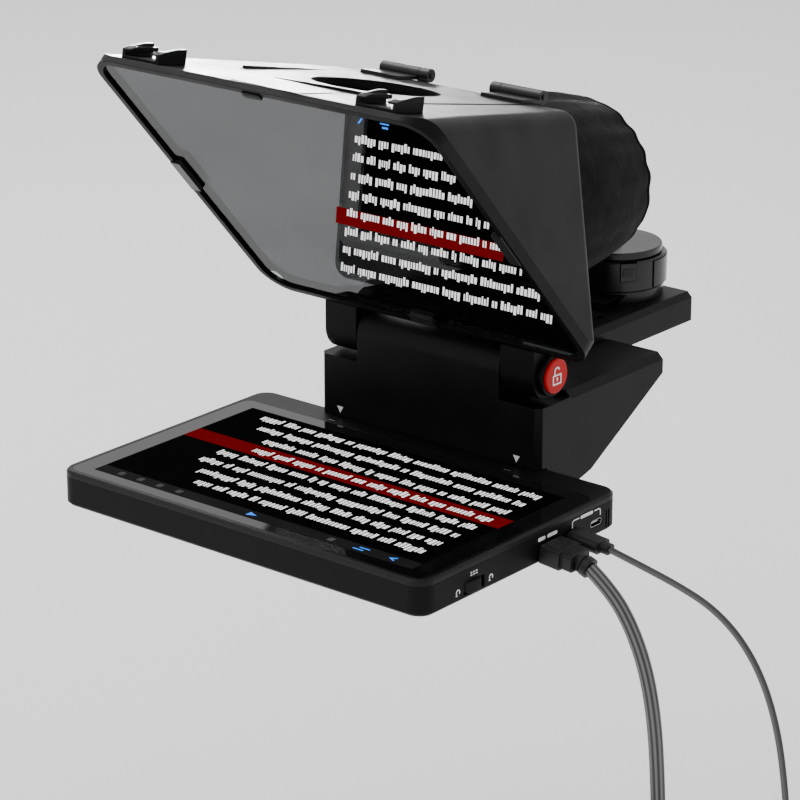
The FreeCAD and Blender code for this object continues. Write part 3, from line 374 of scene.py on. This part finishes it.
FINISHES = (
    (hood_plastic, (
        "hood_shell", "hinge_lug_left", "hinge_lug_right", "button_collar", "shroud_ring",
        "top_lid",
    )),
    (hinge_metal, (
        "hood_knuckle_left", "hood_knuckle_right", "lid_knuckle_left", "lid_knuckle_right",
    )),
    (clip_plastic, (
        "glass_clip_top", "glass_clip_bottom", "glass_clip_left", "glass_clip_right",
    )),
    (monitor_plastic, ("monitor_case", "dial_carrier", "dial_encoder")),
    (bezel_plastic, ("monitor_bezel",)),
    (rubber_black, ("scroll_dial", "rubber_foot_left", "rubber_foot_right")),
    (screen_cover, ("screen_glass",)),
    (half_mirror, ("beam_splitter",)),
    (dark_inside, ("lcd_panel",)),
    (circuit_green, ("main_board",)),
    (bare_steel, (
        "mini_hdmi_socket", "usb_c_socket_front", "usb_c_socket_rear", "button_spring",
        "hinge_rod", "camera_screw", "case_screw_1", "case_screw_2", "case_screw_3",
        "case_screw_4",
    )),
    (brass_metal, ("tripod_insert",)),
    (black_metal, (
        "cold_shoe_left", "cold_shoe_right", "front_block", "wedge_shell", "rail_bracket",
        "camera_rail", "dock_tongue_left", "dock_tongue_right",
    )),
    (clamp_metal, (
        "clamp_base", "clamp_body", "clamp_lever", "clamp_catch", "camera_plate",
    )),
    (button_red, ("lock_button",)),
    (plug_plastic, ("hdmi_plug", "usb_c_plug", "hdmi_far_plug", "usb_c_far_plug")),
)


def finish_with(thing, material):
    slots = thing.data.materials
    if not slots:
        slots.append(material)
    for index in range(len(slots)):
        slots[index] = material


for material, names in FINISHES:
    for name in names:
        finish_with(nodes[name], material)

# ---------------------------------------------------------------- cords


def spline_cord(name, points, diameter, material, body):
    """A round cord along one NURBS spline; points and diameter are in metres."""
    curve = bpy.data.curves.new(name, "CURVE")
    curve.dimensions = "3D"
    curve.bevel_depth = diameter / 2
    curve.bevel_resolution = 6
    curve.resolution_u = 6
    curve.use_fill_caps = True
    spline = curve.splines.new("NURBS")
    spline.points.add(len(points) - 1)
    for index, point in enumerate(points):
        spline.points[index].co = (*point, 1)
    spline.order_u = 3
    spline.use_endpoint_u = True
    curve.materials.append(material)
    thing = bpy.data.objects.new(name, curve)
    bpy.context.scene.collection.objects.link(thing)
    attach(thing, body)
    return thing


POINTS_A_TURN = 16
# the spline cuts inside its points, so a turn's radius is this share of theirs
INSIDE_POINTS = 0.9855


def cord_points(route, plane, centre, radius, pitch, turns, tail):
    """The way down in the plane y = plane, a coil of turns side by side, and the way to the plug."""
    points = [mm(across, plane, up) for across, up in route]
    reach = radius / INSIDE_POINTS
    for step in range(POINTS_A_TURN * turns + 1):
        angle = -math.tau * step / POINTS_A_TURN
        points.append(mm(
            centre[0] + reach * math.cos(angle), plane - pitch * step / POINTS_A_TURN,
            centre[1] + reach * math.sin(angle),
        ))
    points += [mm(centre[0] + radius, plane - pitch * turns, up) for up in tail]
    return points


# each cord's way down from its port, as X and Z in the cord's own plane
HDMI_ROUTE = [
    (136.1, 3.9), (148.7, -4.3), (160.0, -18.8), (168.7, -38), (174, -62), (176.6, -90),
    (178, -117), (178, -141.3),
]
USB_ROUTE = [
    (134.4, 7.4), (150, 4.4), (172, 0), (192, -6), (208.5, -17.6), (221, -34.8),
    (229.6, -58), (234.6, -86), (236.8, -109), (236.8, -127.4),
]
hdmi_points = cord_points(
    HDMI_ROUTE, plane=-74, centre=(140, -158), radius=38, pitch=7.1, turns=5, tail=(-170, -180),
)
usb_points = cord_points(
    USB_ROUTE, plane=-56.5, centre=(219.2, -135), radius=17.6, pitch=3.3, turns=7,
    tail=(-141, -146),
)
hdmi_cord = spline_cord("hdmi_cord", hdmi_points, 0.007, hdmi_jacket, "monitor")
usb_cord = spline_cord("usb_c_cord", usb_points, 0.0032, usb_jacket, "monitor")
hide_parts("hdmi_cable", "hdmi_coil")
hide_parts("usb_c_cable", "usb_c_coil")

# ---------------------------------------------------------------- mesh helpers


def mesh_piece(name, build, material, body, matrix=PLAIN, smooth=False):
    """A piece made by a function that fills a bmesh in millimetres in the given frame."""
    mesh = bpy.data.meshes.new(name)
    work = bmesh.new()
    build(work)
    work.transform(matrix)
    bmesh.ops.recalc_face_normals(work, faces=work.faces)
    work.to_mesh(mesh)
    work.free()
    for face in mesh.polygons:
        face.use_smooth = smooth
    mesh.materials.append(material)
    thing = bpy.data.objects.new(name, mesh)
    bpy.context.scene.collection.objects.link(thing)
    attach(thing, body)
    return thing


def add_shape(work, outline, low, high):
    """A flat outline, padded from low to high along Z."""
    bottom = [work.verts.new((x, y, low)) for x, y in outline]
    top = [work.verts.new((x, y, high)) for x, y in outline]
    work.faces.new(top)
    work.faces.new(bottom[::-1])
    for index in range(len(outline)):
        after = (index + 1) % len(outline)
        work.faces.new((bottom[index], bottom[after], top[after], top[index]))


def rectangle(x0, y0, x1, y1):
    return [(x0, y0), (x1, y0), (x1, y1), (x0, y1)]


def rounded_rectangle(x0, y0, x1, y1, radius, steps=6):
    """A rectangle's outline with each corner an arc of the radius."""
    points = []
    for cx, cy, start in (
        (x1 - radius, y1 - radius, 0), (x0 + radius, y1 - radius, 90),
        (x0 + radius, y0 + radius, 180), (x1 - radius, y0 + radius, 270),
    ):
        for step in range(steps + 1):
            angle = math.radians(start + 90 * step / steps)
            points.append((cx + radius * math.cos(angle), cy + radius * math.sin(angle)))
    return points


def arc_band(cx, cy, inner, outer, start, end, steps=16):
    """A band of a ring, angles in degrees."""
    angles = [math.radians(start + (end - start) * k / steps) for k in range(steps + 1)]
    far = [(cx + outer * math.cos(a), cy + outer * math.sin(a)) for a in angles]
    near = [(cx + inner * math.cos(a), cy + inner * math.sin(a)) for a in reversed(angles)]
    return far + near


def circle(cx, cy, radius, steps=24):
    return [
        (cx + radius * math.cos(math.tau * k / steps), cy + radius * math.sin(math.tau * k / steps))
        for k in range(steps)
    ]


# a tie's cross-section: places across its width, and how far it stands off the coil there
TIE_SECTION = ((-4.5, 0.9), (-3.6, 1.4), (3.6, 1.4), (4.5, 0.9))
TIE_HALF_WIDTH = 4.5
TIE_SLACK = 0.2


def tie(name, x, z, y0, y1, thick):
    """A hook-and-loop tie round the top of a coil, from y0 to y1."""

    def build(work):
        loops = []
        for across, swell in TIE_SECTION:
            outline = rounded_rectangle(
                y0 - swell, -thick / 2 - swell, y1 + swell, thick / 2 + swell, 1.8,
            )
            loops.append([work.verts.new((x + across, y, z + up)) for y, up in outline])
        inner = rounded_rectangle(
            y0 - TIE_SLACK, -thick / 2 - TIE_SLACK, y1 + TIE_SLACK, thick / 2 + TIE_SLACK, 1.2,
        )
        for across in (TIE_HALF_WIDTH, -TIE_HALF_WIDTH):
            loops.append([work.verts.new((x + across, y, z + up)) for y, up in inner])
        for first, second in zip(loops, loops[1:] + loops[:1]):
            for index in range(len(first)):
                after = (index + 1) % len(first)
                work.faces.new((first[index], first[after], second[after], second[index]))

    return mesh_piece(name, build, rubber_black, "monitor", smooth=True)


hdmi_tie = tie("hdmi_tie", 140, -120, -113.1, -70.4, 8)
usb_tie = tie("usb_c_tie", 219.2, -117.4, -81.3, -54.8, 4)

# ---------------------------------------------------------------- display

# a line of text is a row of plain blocks: how wide each may be, its foot and its head, the gap
# after it, and how many make a word, with sizes as shares of the line's block size
BLOCK_WIDTHS = (0.22, 0.34, 0.34, 0.46)
BLOCK_HEIGHTS = ((0, 1.0), (0, 1.0), (0, 1.0), (0, 1.32), (-0.32, 1.0))
BLOCK_GAP = 0.20
WORD_GAP = 0.5
WORDS = (2, 3, 4, 4, 5, 6, 7, 9, 11)


def mark_line(seed, length, size):
    """Outlines of a row of small blocks in word-length groups, from the origin."""
    rng = random.Random(seed)
    outlines = []
    cursor = 0
    while cursor < length - 3 * size:
        for _ in range(rng.choice(WORDS)):
            width = rng.choice(BLOCK_WIDTHS) * size
            foot, head = rng.choice(BLOCK_HEIGHTS)
            if cursor + width > length:
                break
            outlines.append(rectangle(cursor, foot * size, cursor + width, head * size))
            cursor += width + BLOCK_GAP * size
        cursor += WORD_GAP * size
    return outlines


# eight lines from the front, the fifth on a red band: how far each runs
RUNS = (152, 163, 168, 173, 159, 164, 168, 175)
FIRST_LINE = -136.2
LINE_PITCH = 12.36
LINE_START = 90
BLOCK_SIZE = 4.1

SCREEN_X = 98.5
SCREEN_BACK = -43.5
SCREEN_FRONT = -157.1
STRIP_DEPTH = 8
STRIP_GAP = 0.1
BAND_FRONT, BAND_BACK = -94.6, -82.6

# how high each layer of the display lies over the monitor's top
PANEL_LAYER = (0, 0.012)
BAND_LAYER = (0.012, 0.025)
ICON_LAYER = (0.012, 0.05)
TEXT_LAYER = (0.03, 0.07)


def display_panel(work):
    front = SCREEN_FRONT + STRIP_DEPTH + STRIP_GAP
    add_shape(work, rectangle(-SCREEN_X, front, SCREEN_X, SCREEN_BACK), *PANEL_LAYER)


def display_strip(work):
    back = SCREEN_FRONT + STRIP_DEPTH
    add_shape(work, rectangle(-SCREEN_X, SCREEN_FRONT, SCREEN_X, back), *PANEL_LAYER)


def display_text(work):
    for line, run in enumerate(RUNS):
        base = FIRST_LINE + LINE_PITCH * line
        for outline in mark_line(line, run, BLOCK_SIZE):
            add_shape(work, [(LINE_START - x, base - y) for x, y in outline], *TEXT_LAYER)


def display_band(work):
    add_shape(work, rectangle(-SCREEN_X, BAND_FRONT, SCREEN_X, BAND_BACK), *BAND_LAYER)


def status_icons(work):
    for x in (-84, -71.5, -59, -46.5, 48):
        outline = rounded_rectangle(x - 1.7, -154.8, x + 1.7, -151.2, 0.7, 3)
        add_shape(work, outline, *ICON_LAYER)


def status_marks(work):
    """A play mark, two bars that stand for numbers, and an arrow head."""
    for outline in (
        [(-2.6, -155), (2.6, -153), (-2.6, -151)],
        rectangle(62, -154.7, 68, -153.9), rectangle(64, -152.3, 70, -151.5),
        [(82, -153), (86, -155), (86, -153.9), (83.9, -153), (86, -152.1), (86, -151)],
    ):
        add_shape(work, outline, *ICON_LAYER)


# each layer, and whether reflections show it: the glass carries a painted reflection of the text,
# the band and the marks instead
DISPLAY = (
    ("display_panel", display_panel, screen_off, True),
    ("display_strip", display_strip, screen_strip, True),
    ("display_text", display_text, screen_white, False),
    ("display_band", display_band, screen_red, False),
    ("display_icons", status_icons, screen_grey, False),
    ("display_marks", status_marks, screen_blue, False),
)
for name, build, material, reflected in DISPLAY:
    shown = mesh_piece(name, build, material, "monitor", TOP_FRAME)
    shown.visible_glossy = reflected

# The display's reflection in the glass is painted: thin glowing marks on the glass's front. Each is
# laid out in the monitor's own X and Y, mirrored in the glass, and brought to its front along the
# line to the camera's place.
GLASS_FRONT = -1.42
MARK_LIFT = 0.03
LIP_X = 97.4
LIP_Y = (4, 185)
GLASS_BAND_LAYER = (0.01, 0.03)
GLASS_TEXT_LAYER = (0.04, 0.06)

GLASS_FIRST_LINE = -90.6
GLASS_LINE_PITCH = 9.76
GLASS_LINE_START = -103.8
GLASS_LINE_SHIFT = 0.5
GLASS_RUN_SHARE = 0.94
GLASS_BLOCK_SIZE = 3.55
GLASS_BLOCK_HEIGHT = 0.93
GLASS_BAND_FRONT, GLASS_BAND_BACK = -55.2, -46.6
GLASS_BAND_LEFT = -113
BAND_STEPS = 104
BAND_STEP = 2

TO_GLASS = GLASS_FRAME.inverted()
EYE = TO_GLASS @ camera.location


def on_glass(x, y):
    """Where the monitor's point x, y is seen in the glass, in the glass's own frame."""
    seen = TO_GLASS @ mm(x, y, MONITOR_TOP)
    seen.z = 2 * GLASS_FRONT - seen.z
    share = (GLASS_FRONT + MARK_LIFT - EYE.z) / (seen.z - EYE.z)
    spot = EYE + (seen - EYE) * share
    return spot.x, spot.y


def inside_lip(outline):
    return all(-LIP_X < x < LIP_X and LIP_Y[0] < y < LIP_Y[1] for x, y in outline)


def add_to_glass(work, outlines, low, high):
    """Painted reflection marks on the glass, without those that the hood's lip would cut."""
    for outline in outlines:
        placed = [on_glass(x, y) for x, y in outline]
        if inside_lip(placed):
            add_shape(work, placed, GLASS_FRONT + low, GLASS_FRONT + high)


def painted_reflection_text(work):
    for line, run in enumerate(RUNS):
        base = GLASS_FIRST_LINE + GLASS_LINE_PITCH * line
        start = GLASS_LINE_START - GLASS_LINE_SHIFT * line
        outlines = mark_line(line, run * GLASS_RUN_SHARE, GLASS_BLOCK_SIZE)
        add_to_glass(work, [
            [(start + x, base - GLASS_BLOCK_HEIGHT * y) for x, y in outline]
            for outline in outlines
        ], *GLASS_TEXT_LAYER)


def painted_reflection_band(work):
    """The painted reflection of the red band, in short lengths, so that the glass's lip ends it
    cleanly.
    """
    lefts = [GLASS_BAND_LEFT + BAND_STEP * step for step in range(BAND_STEPS)]
    add_to_glass(work, [
        rectangle(left, GLASS_BAND_FRONT, left + BAND_STEP, GLASS_BAND_BACK) for left in lefts
    ], *GLASS_BAND_LAYER)


def painted_reflection_marks(work):
    add_to_glass(work, [
        [(-103, -100.6), (-101, -103.4), (-99.8, -103.4), (-101.6, -100.6)],
        rectangle(-88, -103.2, -82, -102.5), rectangle(-86.5, -101.4, -82.5, -100.4),
    ], *GLASS_BAND_LAYER)


# painted reflection: the display's text, band and marks glow on the glass itself, and reflections
# don't show them
for name, build, material in (
    ("painted_reflection_text", painted_reflection_text, screen_white), ("painted_reflection_band", painted_reflection_band, screen_red),
    ("painted_reflection_marks", painted_reflection_marks, screen_blue),
):
    shown = mesh_piece(name, build, material, "hood", GLASS_FRAME)
    shown.visible_glossy = False

# ---------------------------------------------------------------- printed marks

PRINT_LAYER = (0, 0.05)


def add_prints(work, outlines):
    for outline in outlines:
        add_shape(work, outline, *PRINT_LAYER)


def dock_dashes(work):
    """A dash on the monitor's top under each of the block's arrows."""
    add_prints(work, [
        rectangle(x - 2, -32.4, x + 2, -31.6) for x in (-55.5, 55.5)
    ])


def block_marks(work):
    """Two arrows that point down, at the foot of the block's front."""
    add_prints(work, [
        [(x - 2, 26), (x + 2, 26), (x, 22.4)] for x in (-55.7, 55.7)
    ])


def port_marks(work):
    # a bracket over the two small sockets, with a bar in its gap
    add_prints(work, [
        rectangle(-56.6, 12.4, -56.0, 14.6), arc_band(-55.0, 14.6, 1.0, 1.6, 90, 180, 5),
        rectangle(-55.0, 15.6, -51, 16.2), rectangle(-39, 15.6, -35.6, 16.2),
        arc_band(-35.6, 14.6, 1.0, 1.6, 0, 90, 5), rectangle(-34.6, 12.4, -34.0, 14.6),
        rounded_rectangle(-50, 15.0, -40.2, 16.6, 0.7, 3),
    ])
    # two bars over the larger port
    add_prints(work, [
        rounded_rectangle(left, 13.6, right, 15.4, 0.8, 3)
        for left, right in ((-82.7, -77.2), (-75.6, -68))
    ])
    # a turning arrow on each side of the dial, and six dots over it
    for x in (-141.6, -117.7):
        add_prints(work, [
            arc_band(x, 7.9, 0.9, 1.5, -40, 220, 12),
            [(x - 1.6, 6.2), (x - 0.2, 6.2), (x - 1.4, 7.6)],
        ])
    for x in (-132, -130.1, -128.2):
        add_prints(work, [
            rectangle(x - 0.6, 13.0, x + 0.6, 13.6), rectangle(x - 0.6, 14.2, x + 0.6, 14.8),
        ])


mesh_piece("dock_dashes", dock_dashes, grey_print, "monitor", TOP_FRAME)
mesh_piece("block_marks", block_marks, white_print, "base", BLOCK_FRAME)
mesh_piece("port_marks", port_marks, white_print, "monitor", SIDE_FRAME)

# the padlock's strokes overlap, so the bars lie a little lower than what crosses them
PADLOCK_HIGH = (0, 0.08)
PADLOCK_LOW = (0, 0.07)


def padlock(work):
    """An open padlock in outline, with a keyhole."""
    for outline, layer in (
        (rounded_rectangle(-3.4, -4.2, 3.4, -3.4, 0.35, 3), PADLOCK_HIGH),
        (rounded_rectangle(-3.4, 0.2, 3.4, 1.0, 0.35, 3), PADLOCK_HIGH),
        (rectangle(-3.4, -3.9, -2.6, 0.7), PADLOCK_LOW),
        (rectangle(2.6, -3.9, 3.4, 0.7), PADLOCK_LOW),
        (rectangle(-2.3, 0.8, -1.5, 2.7), PADLOCK_LOW),
        (arc_band(-0.1, 2.6, 1.4, 2.2, 15, 180, 12), PADLOCK_HIGH),
        (circle(0, -1.2, 0.7, 14), PADLOCK_HIGH),
        (rectangle(-0.35, -2.5, 0.35, -1.3), PADLOCK_LOW),
    ):
        add_shape(work, outline, *layer)


mesh_piece("padlock_mark", padlock, white_print, "lock_button", BUTTON_FRAME)


def add_ribs(work, places, half_length, half_width, corner, inner, outer):
    """Ribs across a plug, on its top and its underside."""
    for x in places:
        outline = rounded_rectangle(
            x - half_width, -half_length, x + half_width, half_length, corner, 3,
        )
        add_shape(work, outline, inner, outer)
        add_shape(work, outline, -outer, -inner)


def plug_ribs(work):
    add_ribs(work, (1.6, 3.4, 5.2, 7.0, 8.8), 6.6, 0.45, 0.4, 4.6, 5.0)
    add_ribs(work, (11.9, 13.4, 14.9), 5.2, 0.35, 0.3, 4.0, 4.35)


def catch_ribs(work):
    for y in (-1.8, -0.6, 0.6, 1.8):
        outline = rounded_rectangle(27.45, y - 0.25, 27.7, y + 0.25, 0.1, 2)
        add_shape(work, outline, 76.5, 79.5)


mesh_piece("hdmi_plug_ribs", plug_ribs, plug_plastic, "monitor", PLUG_FRAME)
mesh_piece("catch_ribs", catch_ribs, clamp_metal, "clamp_catch", CATCH_FRAME)

# ---------------------------------------------------------------- shroud

# sections from the ring to the hem: place along Y, height, radius, and lean in degrees
SHROUD = [
    (-8.5, 136.3, 45.5, 9.75), (6, 134.6, 48, 6.5), (24, 132.6, 50.2, 3), (44, 131, 50.4, 0),
    (63.8, 130.3, 49.2, 0), (80.5, 129.3, 46.8, 0), (93.2, 128.9, 44, 0),
    (103.4, 128.8, 41.9, 0),
]
AROUND = 160
ALONG = 84
CLOTH_THICK = 1.6
CLOTH_INSET = 1.3
STANDS_OUT = 0.6
FOLDS = 14
FOLD_DEPTH = 0.45
HEM_PLACE, HEM_WIDTH, HEM_DEPTH = 0.965, 0.018, 1.1
SEAM_PLACE, SEAM_WIDTH = 0.03, 0.02
GATHERS, GATHER_DEPTH = 46, 0.12


def between(position):
    """The section at a position counted in sections, on a smooth curve through them all."""
    index = min(int(position), len(SHROUD) - 2)
    share = position - index
    rows = [SHROUD[max(0, min(len(SHROUD) - 1, index + k))] for k in (-1, 0, 1, 2)]
    result = []
    for before, here, there, after in zip(*rows):
        result.append(0.5 * (
            2 * here + (there - before) * share
            + (2 * before - 5 * here + 4 * there - after) * share ** 2
            + (3 * here - before - 3 * there + after) * share ** 3
        ))
    return result


def wrinkled(share, angle, radius, folds):
    """The cloth's outer radius, from its folds, its gathered seam and its hem."""
    hem = math.exp(-((share - HEM_PLACE) / HEM_WIDTH) ** 2)
    seam = math.exp(-((share - SEAM_PLACE) / SEAM_WIDTH) ** 2)
    calm = min(1, 0.35 + 5 * share) * (1 if share < 0.93 else 0.6)
    wave = sum(
        height * math.sin(count * angle + phase + drift * share)
        for count, phase, drift, height in folds
    )
    gather = GATHER_DEPTH * math.sin(GATHERS * angle + 3 * math.sin(5 * angle))
    radial = radius - CLOTH_INSET + calm * FOLD_DEPTH * wave + (hem + seam) * gather
    return min(radial - HEM_DEPTH * hem, radius + STANDS_OUT)


def shroud(work):
    """A sleeve of cloth: its outside from ring to hem, then its inside back again."""
    rng = random.Random(3)
    folds = [
        (rng.randint(5, 26), rng.uniform(0, math.tau), rng.uniform(-5, 5), rng.uniform(0.15, 0.55))
        for _ in range(FOLDS)
    ]
    rings = []
    for wall in (0, 1):
        rows = range(ALONG + 1) if wall == 0 else range(ALONG, -1, -1)
        for row in rows:
            share = row / ALONG
            along, up, radius, lean = between(share * (len(SHROUD) - 1))
            lean = math.radians(lean)
            ring = []
            for step in range(AROUND):
                angle = math.tau * step / AROUND
                radial = wrinkled(share, angle, radius, folds) - CLOTH_THICK * wall
                rise = radial * math.sin(angle)
                ring.append(work.verts.new((
                    radial * math.cos(angle), along + rise * math.sin(lean),
                    up + rise * math.cos(lean),
                )))
            rings.append(ring)
    for first, second in zip(rings, rings[1:] + rings[:1]):
        for step in range(AROUND):
            after = (step + 1) % AROUND
            work.faces.new((first[step], first[after], second[after], second[step]))


cloth = mesh_piece("cloth_shroud", shroud, shroud_cloth, "hood", smooth=True)
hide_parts("lens_shroud")

# ---------------------------------------------------------------- button spring

spring = nodes["button_spring"].copy()
spring.data = spring.data.copy()
spring.name = "button_coil_spring"
bpy.context.scene.collection.objects.link(spring)
# the copy is a piece of its own, without the marks of a CAD node
for key in list(spring.keys()):
    del spring[key]
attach(spring, "hood")
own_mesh(spring)
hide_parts("button_spring")

# ---------------------------------------------------------------- roof lines and top clip

WALL_FOOT = 0.02
WALL_THICK = 0.4


def add_wall(work, line):
    """A thin wall that stands on the roof along a line of (x, y, height) points."""
    run_x = line[-1][0] - line[0][0]
    run_y = line[-1][1] - line[0][1]
    scale = WALL_THICK / 2 / math.hypot(run_x, run_y)
    across = (-run_y * scale, run_x * scale)
    rings = []
    for x, y, height in line:
        rings.append([
            work.verts.new((x + hand * across[0], y + hand * across[1], level))
            for hand, level in ((-1, WALL_FOOT), (1, WALL_FOOT), (1, height), (-1, height))
        ])
    for ring, after in zip(rings, rings[1:]):
        for corner in range(4):
            beyond = (corner + 1) % 4
            work.faces.new((ring[corner], ring[beyond], after[beyond], after[corner]))
    work.faces.new(rings[0][::-1])
    work.faces.new(rings[-1])


# the lid's edges, and a corner of the outline of a tab in front of it
LID_EDGE_LINES = (
    ((-53.6, -95, 1.5), (-53.6, -70, 0.9), (-53.6, -34, 0.15)),
    ((-24, -106, 0.2), (6, -106, 1.1), (26, -106, 1.3), (41, -106, 0.25)),
    ((53.6, -95, 0.3), (53.6, -5, 0.3)),
)
TAB_LINES = (
    ((-14.7, -146.4, 0.3), (27.5, -149.5, 0.3)),
    ((27.5, -149.3, 0.3), (24, -121.6, 0.3)),
)


def lid_edges(work):
    for line in LID_EDGE_LINES:
        add_wall(work, line)


def tab_outline(work):
    for line in TAB_LINES:
        add_wall(work, line)


def clip_cap(work):
    """The top clip: a cap on the rim, a ridge along it, and a hook down to the glass."""
    add_shape(work, rounded_rectangle(-5.5, 183.4, 5.5, 187.2, 0.9, 5), 0.05, 0.7)
    add_shape(work, rounded_rectangle(-4.2, 184.6, 4.2, 186.2, 0.7, 5), 0.7, 0.85)
    add_shape(work, rounded_rectangle(-5.1, 183.6, 5.1, 185.6, 0.4, 4), -1.38, 0.05)


mesh_piece("lid_edge_lines", lid_edges, dark_inside, "top_lid", ROOF_FRAME)
mesh_piece("roof_tab_lines", tab_outline, dark_inside, "hood", ROOF_FRAME)
top_clip = mesh_piece("top_clip_cap", clip_cap, hood_plastic, "hood", GLASS_FRAME)
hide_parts("glass_clip_top")

# ---------------------------------------------------------------- floor and light

FLOOR_LEVEL = -0.25  # metres, as are the lights' places and sizes
FLOOR_HALF = 30

floor_material, floor_tree, floor_shader = new_material("pale_floor")
floor_noise = noise(floor_tree, 3, 2)
floor_tree.links.new(
    tint(floor_tree, floor_noise.outputs["Fac"], (0.95, 0.95, 0.95), (0.97, 0.97, 0.97)),
    floor_shader.inputs["Base Color"],
)
floor_shader.inputs["Roughness"].default_value = 0.9
floor_mesh = bpy.data.meshes.new("floor")
floor_corners = [
    (x, y, FLOOR_LEVEL) for x, y in rectangle(-FLOOR_HALF, -FLOOR_HALF, FLOOR_HALF, FLOOR_HALF)
]
floor_mesh.from_pydata(floor_corners, [], [(0, 1, 2, 3)])
floor_mesh.materials.append(floor_material)
floor = bpy.data.objects.new("floor", floor_mesh)
bpy.context.scene.collection.objects.link(floor)

world = bpy.data.worlds.new("studio")
bpy.context.scene.world = world
world.use_nodes = True
background = world.node_tree.nodes["Background"]
background.inputs["Color"].default_value = (1, 1, 1, 1)
background.inputs["Strength"].default_value = 1.0


def softbox(name, place, target, width, height, power):
    """A rectangular light that faces its target; power is in watts."""
    light = bpy.data.lights.new(name, "AREA")
    light.shape = "RECTANGLE"
    light.size = width
    light.size_y = height
    light.energy = power
    thing = bpy.data.objects.new(name, light)
    bpy.context.scene.collection.objects.link(thing)
    thing.location = place
    aim = Vector(target) - thing.location
    thing.rotation_euler = aim.to_track_quat("-Z", "Y").to_euler()
    return thing


MIDDLE = (0, 0, 0.1)
softbox("key", (-1.3, 0.3, 1.7), MIDDLE, width=1.4, height=1.0, power=34)
softbox("front", (-0.5, -1.2, 2.2), MIDDLE, width=1.0, height=0.8, power=5)
# a narrow light from behind, aimed over the monitor at the hood's roof
rim = softbox(
    "rim", (-1.15, 0.95, 0.24), (-0.05, -0.08, 0.424), width=0.55, height=0.12, power=4.6,
)
rim.data.spread = math.radians(24)
rim.visible_camera = False
